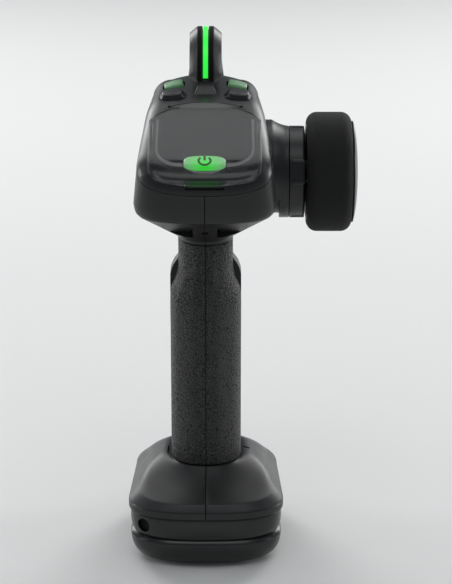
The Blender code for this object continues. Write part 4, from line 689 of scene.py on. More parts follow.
def halfRing(part, extra=0.0):
    seam = fits["seam"] / 2
    outer = [Vector((x, y, part["level"](y))) for x, y in halfOutline(part, extra, extra, seam)]
    wall, wallRear = fits["wall"] + extra, part["wallRear"] + extra
    inner = halfOutline(part, wall, wallRear, seam)
    return stripRing(outer, [Vector((x, y, part["level"](y) + part["rise"])) for x, y in inner], fits["ease"])


def baseSection(z, inset, rise=0.0):
    rear, width = -base["depth"] / 2 + inset, base["width"] - 2 * inset
    return section(
        z, rear, -rear, width, base["corner"], base["cornerFront"], base["power"],
        tip=width - base["taper"], rise=rise,
    )


def domeSection(part, lift, rise):
    creaseRear = -base["depth"] / 2 + base["creaseRear"]
    rear = mixed(creaseRear, grip["rear"], part)
    width = mixed(base["width"] - 2 * base["creaseSide"], grip["width"], part)
    bulge = math.sin(math.pi * part)
    height = mixed(base["creaseZ"], grip["footZ"], part) - bulge * base["lip"] / 4
    cornerRear = mixed(base["corner"], grip["cornerRear"], part) + base["domeRound"] * bulge
    return section(
        lambda y: height + lift * (eased01((y - rear) / cornerRear) - frontFade(y)), rear,
        mixed(-creaseRear, grip["front"], part), width, cornerRear,
        mixed(base["cornerFront"], grip["cornerFront"], part),
        mixed(base["power"], grip["power"], part) - base["domeSoft"] * bulge,
        tip=width - mixed(base["taper"], 0.0, part), rise=rise,
    )


def frontFade(y):
    return base["frontFade"] * eased01(y / (base["depth"] / 2))


def gripSection(z, rearWidth, sideWidth, recess):
    part = clamped((z - grip["taperZ"]) / (grip["neckLowZ"] - grip["taperZ"]))
    return section(
        z, mixed(grip["rear"], grip["neckRear"], part), mixed(grip["front"], grip["neckFront"], part),
        rearWidth, grip["cornerRear"], grip["cornerFront"], grip["power"], side=sideWidth, recess=recess,
    )


def gripRows():
    midZ = (grip["taperZ"] + grip["rubberNeckZ"]) / 2
    wide, slim = grip["width"], grip["neckWidth"]
    midWidth, ease = (wide + slim) / 2, (wide - slim) / 8
    shoulderMid = (grip["shoulderZ"] + grip["neckLowZ"]) / 2
    return [
        (grip["footZ"] + fits["seam"], wide, wide),
        (grip["taperZ"] - grip["straight"], wide, wide),
        (grip["taperZ"], wide, wide),
        ((grip["taperZ"] + midZ) / 2, wide - ease, wide),
        (midZ, midWidth, wide),
        (grip["shoulderZ"] + fits["seam"], slim + ease * 2, wide - ease / 4),
        (shoulderMid, slim + ease / 4, midWidth + ease),
        (grip["neckLowZ"], slim, slim),
        (grip["rubberTopZ"], slim, slim),
    ]


seamBend = (head["seamPeakZ"] - head["seamRearZ"]) / (head["seamPeakY"] - head["rear"]) ** 2
coverSlope = (deck["hingeZ"] - deck["coverZ"]) / (deck["hingeY"] - deck["coverY"])
coverTilt = math.atan(coverSlope)
deckSlope = (deck["frontZ"] - deck["hingeZ"]) / (deck["frontY"] - deck["hingeY"])


def seamZ(y):
    return head["seamPeakZ"] - seamBend * (y - head["seamPeakY"]) ** 2


def topZ(y):
    if y < deck["frontY"]:
        return deck["hingeZ"] + (y - deck["hingeY"]) * (coverSlope if y < deck["hingeY"] else deckSlope)
    return deck["frontZ"] - deck["noseFall"] * (y - deck["frontY"]) ** 2


def headHalf(y):
    turnY, tipY = head["rear"] + head["cornerRear"], head["front"] - head["cornerFront"]
    half = mixed(head["seamWidth"], head["tipWidth"], clamped((y - turnY) / (tipY - turnY))) / 2
    if y > tipY:
        past = min((y - tipY) / head["cornerFront"], 1.0)
        half *= (1 - past ** head["power"]) ** (1 / head["power"])
    return half


def headSection(level, rear, front, width, **more):
    return section(level, rear, front, width, head["cornerRear"], head["cornerFront"], head["power"], **more)


def seamSection(lift):
    return headSection(
        lambda y: seamZ(y) + lift, head["rear"], head["front"], head["seamWidth"], tip=head["tipWidth"],
    )


# case halves
wheel = {
    "y": 0.0100, "z": 0.1885, "radius": 0.0289, "inner": 0.0486, "width": 0.0219, "bore": 0.0240,
    "round": 0.0052, "rimWall": 0.0020, "capRadius": 0.0246, "capRise": 0.0026, "mountRadius": 0.0222,
    "mountNeck": 0.0200, "mountStart": 0.0300, "mountFace": 0.0361, "mountEnd": 0.0400, "mountSeat": 0.0265,
    "mountSweep": 0.0080, "mountFlare": 0.0030, "housingEnd": 0.0478, "housingRadius": 0.0222,
    "housingRound": 0.0016, "padRise": 0.00035, "padWidth": 0.0126, "padLength": 0.0066, "padCorner": 0.0014,
    "padRoot": 0.0030, "padTurn": 74.0, "shaft": 0.0030, "bearing": 0.0065, "ease": 0.0003, "webEase": 0.0010,
    "webShare": 0.35, "capFall": 0.8, "lip": 0.00015, "boreStart": 0.02, "boreEnd": 0.06,
    "flareBend": 1.7, "flareSide": 0.55, "flareTurn": 0.9,
}
padSteps = ((0.4, 1.0), (0.85, 0.97), (1.0, 0.92))  # share of the rise, share of the outline
capStops = (0.1, 0.2, 0.3, 0.4, 0.5, 0.6, 0.7, 0.78, 0.85, 0.91, 0.96, 0.99)
underCut = {"in": 0.0100, "rear": -0.06, "low": 0.10, "gap": 0.0005, "front": 0.08, "over": 0.0010}
trigger = {
    "y": 0.0420, "z": 0.1790, "width": 0.0120, "hub": 0.0050, "ringY": 0.0490, "ringZ": 0.1430,
    "halfY": 0.0150, "halfZ": 0.0195, "band": 0.0042, "slotRear": 0.0150, "slotFront": 0.0130,
    "ease": 0.0012, "pin": 0.00165, "seatDrop": 0.0037, "ringStart": 118.0, "ringEnd": 422.0,
}
pocket = {"start": 0.22, "end": 0.78, "depth": 0.0034, "innerX": 0.0058, "outerX": 0.0200, "hole": 0.0018}
caseScrews = ((0.0080, 0.0700), (0.0080, 0.1200), (0.0500, 0.1990))
caseSlots = (  # side, low corner, high corner
    (1, (0.0186, 0.0010, 0.0440), (0.0218, 0.0026, 0.0600)),
    (-1, (-0.0194, -0.0060, 0.0440), (-0.0186, 0.0030, 0.0600)),
    (-1, (-0.0360, -0.0310, 0.1812), (-0.0312, -0.0262, 0.1862)),
)
screwSeat = {"x": 0.0090, "radius": 0.0028}
far = 0.1  # past the part on either side


def domeLiftAt(part):
    for index in range(len(domeStops) - 1):
        if part <= domeStops[index + 1]:
            share = (part - domeStops[index]) / (domeStops[index + 1] - domeStops[index])
            return base["domeLift"] * mixed(domeLifts[index], domeLifts[index + 1], share)


def caseRows():
    wall, rim = fits["wall"], fits["ease"]
    low = [
        halfRing(baseSection(base["seamZ"], 0.0), rim),
        halfRing(baseSection(base["seamZ"] + rim, 0.0)),
        halfRing(baseSection(base["seamZ"] + base["lip"], 0.0, -wall / 3)),
    ]
    band = [low[-1], halfRing(domeSection(0.0, base["creaseLift"], -wall * domeRises[0]))]
    dome = []
    for stop, rise in zip(domeStops, domeRises):
        dome.append(halfRing(domeSection(stop, domeLiftAt(stop), -wall * rise)))
    foot = halfRing(gripSection(grip["footZ"], grip["width"], grip["width"], 0.0))
    dome = smoothRows(dome + [foot], 5)
    recess = grip["rubber"] + fits["fit"]
    rows = [halfRing(gripSection(z, rear, side, recess)) for z, rear, side in gripRows()]
    neckTop = gripSection(grip["rubberTopZ"] + fits["seam"], grip["neckWidth"], grip["neckWidth"], 0.0)
    neck = section(
        head["neckZ"], grip["neckRear"], grip["neckFront"], grip["neckWidth"], grip["cornerRear"],
        grip["cornerFront"], grip["power"], wallRear=head["funnelWall"] / 2,
    )
    stem = [foot] + smoothRows(rows, 5) + [halfRing(neckTop), halfRing(neck)]
    under = headSection(
        head["lowZ"], head["lowRear"], head["lowFront"], head["lowWidth"],
        tip=head["tipWidth"] - head["edge"], wallRear=head["funnelWall"], rise=wall,
    )
    edge = headSection(
        head["lowZ"] + head["edge"] / 3, (head["lowRear"] * 2 + head["rear"]) / 3,
        (head["lowFront"] + head["front"]) / 2, (head["lowWidth"] + head["width"] * 2) / 3,
        tip=head["tipWidth"], wallRear=head["funnelWall"] / 2, rise=wall * 0.8,
    )
    side = headSection(
        head["lowZ"] + head["edge"], (head["lowRear"] + head["rear"] * 2) / 3, head["front"],
        head["width"], tip=head["tipWidth"], rise=wall / 2,
    )
    cheek = smoothRows([halfRing(under), halfRing(edge), halfRing(side)], 4)
    funnel = [stem[-1], halfRing(under)]
    topLow = halfRing(seamSection(-fits["seam"] / 2 - rim))
    crown = [cheek[-1], topLow, halfRing(seamSection(-fits["seam"] / 2), rim)]
    eases = [0.0007, 0.0009, 0.0, 0.0012, 0.0009, 0.0]
    return joinedRows([low, band, dome, stem, funnel, cheek, crown], eases)


def makeCase():
    shells = loftPair("case_shell", caseRows())
    neckBack = Vector((grip["neckRear"], head["neckZ"]))
    run = Vector((head["lowRear"] - grip["neckRear"], head["lowZ"] - head["neckZ"]))
    out = Vector((-run.y, run.x)).normalized()
    ends = ((pocket["start"], 1), (pocket["end"], 1), (pocket["end"], -1), (pocket["start"], -1))
    outline = [neckBack + run * share + out * pocket["depth"] * side for share, side in ends]
    slotHalf = trigger["width"] / 2 + fits["turn"]
    holeMid = neckBack + run / 2
    holeOut, holeIn = holeMid + out * pocket["depth"], holeMid - out * pocket["depth"]
    for shell, side in zip(shells, (1, -1)):
        cutters = [
            prism("pocketCut", outline, "X", side * pocket["innerX"], side * pocket["outerX"]),
            rodBetween("strapCut", (0.0, *holeIn), (0.0, *holeOut), pocket["hole"]),
            boxBetween(
                "slotCut",
                (-slotHalf, trigger["y"] - trigger["slotRear"], head["neckZ"] - head["edge"]),
                (slotHalf, trigger["y"] + trigger["slotFront"], trigger["z"] + trigger["hub"]),
            ),
        ]
        if side > 0:
            place = (head["tipWidth"] / 2 - head["edge"], wheel["y"], wheel["z"])
            reach = (wheel["mountEnd"] * 2, wheel["y"], wheel["z"])
            cutters.append(rodBetween("wheelCut", place, reach, wheel["mountNeck"] + fits["fit"], 64))
        else:
            for y, z in caseScrews:
                cutters.append(rodBetween("sinkCut", (-far, y, z), (-screwSeat["x"], y, z), screwSeat["radius"]))
        for slotSide, low, high in caseSlots:
            if slotSide == side:
                cutters.append(boxBetween("slitCut", low, high))
        changed(shell, cutters)
    for shell, label in zip(shells, ("right", "left")):
        dressed(shell, "case", "hard", "hard_black", "case_" + label)


makeCase()
print("case halves made")

# rubber panels of the grip
panel = {"easeShare": 1.5, "shrink": 0.0005, "narrow": 0.985}
tongue = {"behind": 0.0008, "below": 0.0090}


def makePanels():
    rows = []
    corner, seam = fine["corner"] + 1, fits["seam"] / 2
    for index, (z, rearWidth, sideWidth) in enumerate(gripRows()):
        part = gripSection(z, rearWidth, sideWidth, 0.0)
        low = z if index else z + fits["seam"]
        outlines = halfOutline(part, 0.0, 0.0, seam), halfOutline(part, grip["rubber"], grip["rubber"], seam)
        outer, inner = ([Vector((x, y, low)) for x, y in outline[:corner]] for outline in outlines)
        rows.append(stripRing(outer, inner, fits["ease"] * panel["easeShare"]))
    rows = smoothRows(rows, 6)
    ends = []
    for row, step in ((rows[0], 1), (rows[-1], -1)):
        ends.append([Vector((p.x * panel["narrow"], p.y + panel["shrink"], p.z)) for p in row])
        for point in row:
            point.z += step * panel["shrink"]
    for made, label in zip(loftPair("grip_leather", [ends[0], *rows, ends[1]]), ("right", "left")):
        dressed(made, "case", "leather", "grip_rubber", "grip_panel_" + label, angle=50.0)


# tongue between the halves, so that the seam shows no light
def makeTongue():
    back = grip["rubber"] + fits["fit"] + tongue["behind"]
    outline = []
    levels = [(z, "rear", "front") for z in (grip["footZ"] - tongue["below"], grip["taperZ"])]
    levels += [(z, "neckRear", "neckFront") for z in (grip["neckLowZ"], head["neckZ"])]
    for z, rear, front in levels:
        outline.insert(0, (grip[rear] + back, z))
        outline.append((grip[front] - fits["wall"] / 2, z))
    dressed(prism("case_tongue", outline, "X", -fits["slide"], fits["slide"]), "case", "hard", "hard_black")


makePanels()
makeTongue()
print("grip panels made")

# base ring, base cap and foot pad
port = {"radius": 0.0036, "z": 0.0213, "angle": 51.0, "recess": 0.0020}
padSeat = {"room": 0.0006, "corner": 0.0120, "above": 0.0002, "below": 0.0010, "screwHead": 0.0022}
bandSides = (  # share of the height, inset in steps
    (0.0, 1.25), (0.08, 0.85), (0.22, 0.38), (0.5, 0.0), (0.78, 0.06), (0.93, 0.32), (1.0, 0.70),
)


def cupRing(z, inset):
    part = baseSection(z, base["step"] + inset)
    right = [Vector((x, y, z)) for x, y in halfOutline(part, 0.0, 0.0, fine["flat"])]
    return right + mirrored(reversed(right))


def portFrame():
    share = 2 / base["power"]
    turn = math.radians(port["angle"])
    half = base["width"] / 2 - base["step"]
    rear = -base["depth"] / 2 + base["step"]
    x = -half * math.sin(turn) ** share
    y = rear + base["corner"] * (1 - math.cos(turn) ** share)
    leanX = math.sin(turn) ** (share * (base["power"] - 1)) / half
    leanY = math.cos(turn) ** (share * (base["power"] - 1)) / base["corner"]
    return Vector((x, y, port["z"])), Vector((-leanX, -leanY, 0.0)).normalized()


def makeRing():
    low, high = base["capTop"] + fits["seam"], base["seamZ"] - fits["seam"]
    rows = [cupRing(mixed(low, high, share), base["step"] * inset) for share, inset in bandSides]
    ring = loft("base_band", smoothRows(rows, 3))
    bore = loft("boreCut", [cupRing(z, fits["wall"]) for z in (0.0, base["seamZ"] + fits["wall"])])
    place, out = portFrame()
    reach = out * fits["wall"] * 3
    changed(ring, [bore, rodBetween("portCut", place - reach, place + reach, port["radius"])])
    dressed(ring, "case", "smooth", "hard_black", "base_ring")
    # the recessed lid gets the extra-dark black, painted shade in the port
    lid = rodBetween("port_lid", place - reach, place - out * port["recess"], port["radius"] - fits["fit"])
    dressed(lid, "case", "socket", "grip_rubber", "port_plug")


def makeCap(steps=12):
    rows = []
    tall = base["capTop"] - base["capLow"] - base["shoulder"]
    for angle in quarterTurn(steps):
        inset = base["capCurve"] * (1 - math.sin(angle) ** base["capPower"])
        rows.append(cupRing(base["capLow"] + tall * (1 - math.cos(angle)), inset))
    for angle in quarterTurn(steps)[1:]:
        drop = base["shoulder"] * (1 - math.sin(angle) ** base["bevel"])
        rows.append(cupRing(base["capTop"] - drop, base["shoulder"] * (1 - math.cos(angle) ** base["bevel"])))
    cap = loft("base_bowl", rows)
    padLow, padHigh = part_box("foot_pad")
    size = padHigh - padLow
    wide, deep = size.x + padSeat["room"], size.y + padSeat["room"]
    levels = (-padSeat["below"], padHigh.z + padSeat["above"])
    layers = [(wide, deep, padSeat["corner"], height) for height in levels]
    sinks = [stacked("padCut", layers, (0.0, 0.0, 0.0), 0.0, 14)]
    for index in range(4):
        low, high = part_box("base_screw_%d" % (index + 1))
        x, y = ((low + high) / 2).xy
        reach = (high.x - low.x) / 2 + fits["fit"]
        sinks.append(rodBetween("sinkCut", (x, y, -far / 10), (x, y, low.z + padSeat["screwHead"]), reach))
    changed(cap, sinks)
    dressed(cap, "case", "smooth", "hard_black", "base_cap")


makeRing()
makeCap()
print("base made")


# top shell
def topRing(part, lift, inset, drop, size, fromSeam=False):
    ring = []
    for x, y in halfOutline(part, inset, inset, fine["flat"]):
        room = topZ(y) - seamZ(y) - lift - fits["ease"] * 2
        fall = drop * min(1.0, room / size)
        ring.append(Vector((x, y, seamZ(y) + lift if fromSeam else topZ(y) - fall)))
    return ring + mirrored(reversed(ring))


def topRows(part, edge, lift, size, steps=12):
    rows = [topRing(part, lift, edge + fits["ease"], 0.0, size, True)]
    rows.append(topRing(part, lift + fits["ease"], edge, 0.0, size, True))
    for angle in quarterTurn(steps):
        inset, drop = size * (1 - math.cos(angle)), size * (1 - math.sin(angle))
        rows.append(topRing(part, lift, edge + inset, drop, size))
    return rows


def deckCrown(y):
    share = eased01((y - deck["hingeY"]) / (deck["frontY"] - deck["hingeY"]))
    return mixed(deck["hingeCrown"], deck["crown"], share)


def coverCrown(y):
    return deck["hingeCrown"]


def crownAt(x, y):
    half = headHalf(y) - deck["round"]
    return deckCrown(y) * max(0.0, 1 - (x / half) ** 2), 2 * deckCrown(y) * x / half**2


cover = {
    "edge": 0.0003, "wall": 0.0016, "arc": 0.0440, "tab": 0.0330, "tabOut": 0.0015, "knuckle": 0.0011,
    "drop": 0.0006, "roundShare": 0.95, "gap": 0.0006, "half": 0.0266, "flat": 0.0160, "rise": 0.0052,
    "power": 3.4, "hingeReach": 0.0017, "slot": 0.0014, "slotRear": 0.0030, "slotFront": 0.0016, "slotLow": 0.0009,
    "sideSteps": 36, "sideBend": 0.6, "tabEdge": 0.00002, "seat": 0.0001, "pinRoom": 1.1,
}
display = {"width": 0.0420, "rear": -0.0300, "front": -0.0030}
power = {
    "width": 0.0196, "depth": 0.0086, "y": -0.0376, "proud": 0.0019, "head": 0.0031, "round": 0.0011,
    "power": 2.9, "crown": 0.0003, "glowReach": 0.0092, "glow": 0.90, "rough": 0.22, "glowBack": 0.45, "glowUp": 0.1,
    "core": (0.018, 0.46, 0.022), "rim": (0.12, 0.28, 0.13),
}
lit = {
    "x": 0.0155, "y": 0.0280, "width": 0.0092, "depth": 0.0070, "height": 0.0013, "corner": 0.0016,
    "round": 0.0007, "gap": 0.0009, "tilt": 0.16, "crown": 0.0002, "root": 0.0040, "room": 0.0060,
    "glowReach": 0.0064, "glow": 0.30, "core": (0.16, 0.29, 0.17), "rim": (0.05, 0.19, 0.065),
}
oval = {
    "x": 0.0157, "y": 0.0126, "width": 0.0102, "depth": 0.0074, "skirt": 0.0011, "height": 0.0026,
    "round": 0.0008, "gap": 0.0004, "tilt": 0.21, "power": 2.7, "crown": 0.0002, "root": 0.0040, "room": 0.0050,
}
ovalSkirt = ((0.97, 0.0), (1.0, 0.0003), (0.92, 0.0007), (0.62, 0.0012), (0.34, 0.0017), (0.14, 0.0021))
notch = {"width": 0.0180, "depth": 0.0036, "corner": 0.0016, "drop": 0.0011, "room": 0.0040}
stem = {"width": 0.0090, "depth": 0.0054, "corner": 0.0012, "travel": 0.0010}
hingeY = deck["hingeY"] - cover["hingeReach"] - fits["turn"] * 3
hingeZ = topZ(hingeY) - cover["drop"]


def keyPlace(side, key):
    rise, slope = crownAt(key["x"], key["y"])
    return (side * key["x"], key["y"], topZ(key["y"]) + rise), side * math.atan(slope)


def arcY(x, shift):
    return deck["hingeY"] + shift - (cover["arc"] - math.sqrt(cover["arc"] ** 2 - x**2))


def seatRise(x):
    past = clamped((abs(x) - cover["flat"]) / (cover["half"] - cover["flat"]))
    return cover["rise"] * (1 - (1 - past ** cover["power"]) ** (1 / cover["power"]))


def coverRegion(name, shift, lift, half, tabHalf):
    start = head["rear"] - head["edge"]
    edges = [side * (tabHalf + step) for side in (-1, 1) for step in (-cover["tabEdge"], cover["tabEdge"])]
    sides = []
    for turn in quarterTurn(cover["sideSteps"])[1:]:
        sides.append(cover["flat"] + (half - cover["flat"]) * math.sin(turn) ** cover["sideBend"])
    rings = []
    for x in sorted(spread(-cover["flat"], cover["flat"], 41) + sides + [-x for x in sides] + edges):
        front = arcY(x, shift if abs(x) < tabHalf else shift - cover["tabOut"])
        low = deck["shelf"] + lift + seatRise(x)
        ring = [Vector((x, y, seamZ(y) + low)) for y in spread(start, front, 24)]
        ring += [Vector((x, y, deck["frontZ"] + head["edge"])) for y in spread(front, start, 24)]
        rings.append(ring)
    return loft(name, rings)


def hingeBarrel(name, half):
    rings = []
    for x in spread(-half, half, 41):
        front = arcY(x, -cover["gap"])
        high = topZ(front) + crownAt(x, front)[0] - hingeZ
        reach = math.hypot(front - hingeY, high) + fits["fit"]
        turns = [(reach * math.cos(angle), reach * math.sin(angle)) for angle in fullTurn(48)]
        rings.append([Vector((x, hingeY + y, hingeZ + z)) for y, z in turns])
    return loft(name, rings)


def hingeRod(name, half, radius):
    return rodBetween(name, (-half, hingeY, hingeZ), (half, hingeY, hingeZ), radius, 24)


def makeTop():
    shell = loft("deck_shell", topRows(seamSection(0.0), 0.0, fits["seam"] / 2, deck["round"]), deckCrown)
    tabHalf = cover["tab"] / 2
    cutters = [
        coverRegion("coverCut", 0.0, 0.0, cover["half"] + fits["fit"], tabHalf + fits["fit"]),
        boxBetween(
            "windowCut", (-display["width"] / 2 - fits["fit"], display["rear"] - fits["fit"], head["lowZ"]),
            (display["width"] / 2 + fits["fit"], display["front"] + fits["fit"], deck["frontZ"]),
        ),
        hingeBarrel("hingeCut", tabHalf + fits["fit"]),
    ]
    for side in (-1, 1):
        near, past = sorted((side * tabHalf, side * (tabHalf + cover["slot"])))
        slotLow = (near, hingeY - cover["slotRear"], hingeZ + cover["slotLow"])
        cutters.append(boxBetween("slotCut", slotLow, (past, hingeY + cover["slotFront"], deck["frontZ"])))
        place, lean = keyPlace(side, lit)
        wide, deep = lit["width"] + 2 * lit["gap"], lit["depth"] + 2 * lit["gap"]
        layers = [(wide, deep, lit["corner"] + lit["gap"], height) for height in (-lit["room"], lit["room"])]
        cutters.append(stacked("litCut", layers, place, lit["tilt"], 8, 0.0, lean))
        place, lean = keyPlace(side, oval)
        wide = oval["width"] + 2 * oval["skirt"] + 2 * oval["gap"]
        deep = oval["depth"] + 2 * oval["skirt"] + 2 * oval["gap"]
        layers = [(wide, deep, 0.0, height) for height in (-stem["travel"] - fits["slide"], oval["room"])]
        cutters.append(stacked("ovalCut", layers, place, oval["tilt"], 14, 0.0, lean, oval["power"]))
    notchZ = seamZ(head["rear"]) + deck["shelf"]
    levels = (notchZ - notch["drop"], notchZ + notch["room"])
    layers = [(notch["width"], notch["depth"], notch["corner"], height) for height in levels]
    cutters.append(stacked("notchCut", layers, (0.0, head["rear"], 0.0), 0.0, 8))
    changed(shell, cutters)
    dressed(shell, "case", "satin", "hard_black", "top_shell")


makeTop()
print("top shell made")


# smoked cover
def makeCover():
    front = deck["hingeY"] + deck["round"] * 3
    tip = 2 * headHalf(front - head["edge"] * 2)
    part = section(
        0.0, head["rear"], front, head["seamWidth"], head["cornerRear"], head["edge"] * 2, head["power"], tip=tip,
    )
    size = deck["round"] * cover["roundShare"]
    skin = loft("cover_skin", topRows(part, cover["edge"], deck["shelf"] + fits["fit"], size), coverCrown)
    hollow = loft("hollowCut", topRows(part, cover["edge"] + cover["wall"], 0.0, size), coverCrown)
    hollow.location = (0.0, 0.0, -cover["wall"])
    changed(skin, [hollow])
    tabHalf, lift = cover["tab"] / 2, fits["fit"] - cover["seat"]
    changed(skin, [coverRegion("keepCut", -cover["gap"], lift, cover["half"], tabHalf)], "INTERSECT")
    wide, deep = power["width"] + fits["slide"], power["depth"] + fits["slide"]
    layers = [(wide, deep, 0.0, height) for height in (-power["head"] * 2, power["head"])]
    place = (0.0, power["y"], topZ(power["y"]))
    changed(skin, [
        stacked("powerCut", layers, place, coverTilt, power=power["power"]),
        hingeRod("knuckleCut", tabHalf * cover["pinRoom"], cover["knuckle"] + fits["fit"] / 3),
    ])
    dressed(skin, "cover", "smoked", "smoked", "flip_cover")
    dressed(hingeRod("cover_knuckle", tabHalf, cover["knuckle"]), "cover", "hard", "smoked")


makeCover()
print("cover made")

# strip under the cover
strip = {
    "x": 0.0228, "bend": 0.0138, "fall": 0.0128, "turnY": -0.0230, "power": 2.3, "slim": 0.0012, "broad": 0.0020,
    "drop": 0.0020, "sink": 0.0005, "thick": 0.0006, "front": -0.0040, "start": 0.0104, "easeShare": 0.2,
}


# middle of the strip and half its width outwards, from the power button to the hinge
def stripPath():
    share, middle = 2 / strip["power"], strip["x"] - strip["bend"]
    path = []
    last = math.acos(((strip["start"] - middle) / strip["bend"]) ** (1 / share))
    for angle in spread(last, 0.0, 40):
        cos, sin = math.cos(angle), math.sin(angle)
        out = Vector((cos ** (2 - share) / strip["bend"], -(sin ** (2 - share)) / strip["fall"], 0.0)).normalized()
        spot = Vector((middle + strip["bend"] * cos**share, strip["turnY"] - strip["fall"] * sin**share, 0.0))
        path.append((spot, out * (strip["slim"] + (strip["broad"] - strip["slim"]) * sin**2) / 2))
    for y in spread(strip["turnY"], strip["front"], 16)[1:]:
        path.append((Vector((strip["x"], y, 0.0)), Vector((strip["slim"] / 2, 0.0, 0.0))))
    return path


def stripRings(lowOf, highOf):
    ease, up = strip["slim"] * strip["easeShare"], Vector((0.0, 0.0, 1.0))
    rings = []
    for spot, out in stripPath():
        one, two, side = spot + out, spot - out, out.normalized() * ease
        rings.append([
            one + up * lowOf(one.y), one + up * (highOf(one.y) - ease), one - side + up * highOf(one.y),
            two + side + up * highOf(two.y), two + up * (highOf(two.y) - ease), two + up * lowOf(two.y),
        ])
    return rings


def makeStrip():
    def seatZ(y):
        return seamZ(y) + deck["shelf"] + fits["fit"]

    def middleZ(y):
        return highZ(y) - strip["thick"]

    def highZ(y):
        rise = eased01((y - strip["turnY"] + strip["fall"]) / strip["fall"])
        return topZ(y) - strip["drop"] - strip["sink"] * rise

    right, left = loftPair("rail", stripRings(middleZ, highZ))
    # the strip finish's faint glow is painted light
    dressed(right, "case", "strip", "strip_grey", "status_strip")
    dressed(left, "case", "strip", "strip_grey")
    for rib in loftPair("rib", stripRings(seatZ, lambda y: middleZ(y) - fits["fit"] / 10)):
        dressed(rib, "case", "hard", "hard_black")


makeStrip()
print("strip made")


# buttons
def roundedTop(key, depth, height, corner, steps=6):
    layers = []
    for angle in quarterTurn(steps):
        away = 2 * key["round"] * (1 - math.cos(angle))
        drop = key["round"] * (1 - math.sin(angle))
        layers.append((key["width"] - away, depth - away, corner, height - drop))
    return layers


def makeButtons():
    deep, proud, high = power["depth"], power["proud"], topZ(power["y"])
    layers = [(power["width"], deep, 0.0, proud - power["head"]), *roundedTop(power, deep, proud, 0.0)]
    place = (0.0, power["y"], high)
    button = stacked("power_key", layers, place, coverTilt, crown=power["crown"], power=power["power"])
    glowAt = (0.0, power["y"] - deep * power["glowBack"], high + proud * power["glowUp"])
    finish = litPlastic(
        "litPower", power["core"], power["rim"], glowAt, power["glowReach"], power["glow"], power["rough"],
    )
    dressed(button, "power_button", finish, "lit_green", "power_button", angle=60.0)
    for side, label in ((-1, "left"), (1, "right")):
        place, lean = keyPlace(side, lit)
        layers = [(lit["width"], lit["depth"], lit["corner"], -lit["root"])]
        layers += roundedTop(lit, lit["depth"], lit["height"], lit["corner"])
        key = stacked("lit_key_" + label, layers, place, lit["tilt"], 8, lit["crown"], lean)
        glowAt = Vector(place) + Vector((0.0, 0.0, lit["height"]))
        finish = litPlastic("litKey" + label, lit["core"], lit["rim"], glowAt, lit["glowReach"], lit["glow"])
        dressed(key, "lit_button_" + label, finish, "lit_green", "lit_button_" + label, angle=60.0)
        place, lean = keyPlace(side, oval)
        layers = [(stem["width"], stem["depth"], stem["corner"], height) for height in (-oval["root"], 0.0)]
        for share, height in ovalSkirt:
            wide, deep = oval["width"] + 2 * oval["skirt"] * share, oval["depth"] + 2 * oval["skirt"] * share
            layers.append((wide, deep, 0.0, height))
        layers += roundedTop(oval, oval["depth"], oval["height"], 0.0)
        key = stacked("oval_key_" + label, layers, place, oval["tilt"], 16, oval["crown"], lean, oval["power"])
        dressed(key, "oval_button_" + label, "key", "hard_black", "oval_button_" + label, angle=60.0)


makeButtons()
print("buttons made")

# power mark: a ring with a gap and a bar, inlaid on the key
mark = {
    "radius": 0.0028, "line": 0.0010, "gap": 42.0, "bar": 0.0031, "barStart": 0.12, "rise": 0.00006, "deep": 0.0004,
    "shift": -0.0003,
}


def makeMark():
    turn = Matrix.Translation((0.0, power["y"], topZ(power["y"]))) @ Matrix.Rotation(coverTilt, 4, "X")
    high = power["proud"] + power["crown"]
    half, low = mark["line"] / 2, mark["radius"] * mark["barStart"]
    angles = spread(math.radians(90 + mark["gap"]), math.radians(450 - mark["gap"]), 40)
    outline = []
    for radius, turns in ((mark["radius"] + half, angles), (mark["radius"] - half, reversed(angles))):
        outline += [(radius * math.cos(angle), radius * math.sin(angle)) for angle in turns]
    bar = [(half, low), (half, low + mark["bar"]), (-half, low + mark["bar"]), (-half, low)]
    data = bmesh.new()
    for points in (outline, bar):
        rings = []
        for z in (high - mark["deep"], high + mark["rise"]):
            rings.append([turn @ Vector((x, y + mark["shift"], z)) for x, y in points])
        addLoft(data, rings)
    dressed(newPiece("power_mark", data), "power_button", "mark", "lit_green")


makeMark()
print("power mark made")

# carry loop and its light
loop = {
    "y": 0.0380, "baseZ": 0.2210, "topZ": 0.2534, "half": 0.0222, "width": 0.0156, "flare": 0.0012,
    "thick": 0.0082, "chamfer": 0.0032, "lane": 0.0041, "light": 0.0024, "lightDepth": 0.0011, "edge": 0.0003,
    "footTaper": 0.0042, "footFlare": 0.0020, "footOut": 0.0042, "shadeSheet": 0.0001, "glowReach": 0.05, "glow": 0.9,
    "glowZ": 0.24, "core": (0.03, 0.80, 0.06), "rim": (0.02, 0.62, 0.045),
}
loopTurn = {  # angles round the loop, from its rear foot
    "past": 0.35, "out": 0.34, "outRun": 0.30, "taper": 0.48, "taperRun": 0.22, "flareRun": 0.5, "foot": 0.30,
    "footRun": 0.18, "slot": 0.365, "light": 0.385, "shadeSheet": 0.33, "end": math.pi * 0.82,
}
closedSlot = 0.05  # share of the slot's depth that is left below the light


def loopPoint(angle, x, depth):
    half, rise = loop["half"] - depth, loop["topZ"] - loop["baseZ"] - depth
    out = loop["footOut"] * eased01((loopTurn["out"] - angle) / loopTurn["outRun"])
    return Vector((x, loop["y"] - half * math.cos(angle) - out, loop["baseZ"] + rise * math.sin(angle)))


def loopRings(angles, corners):
    return [[loopPoint(angle, x, depth) for x, depth in corners] for angle in angles]


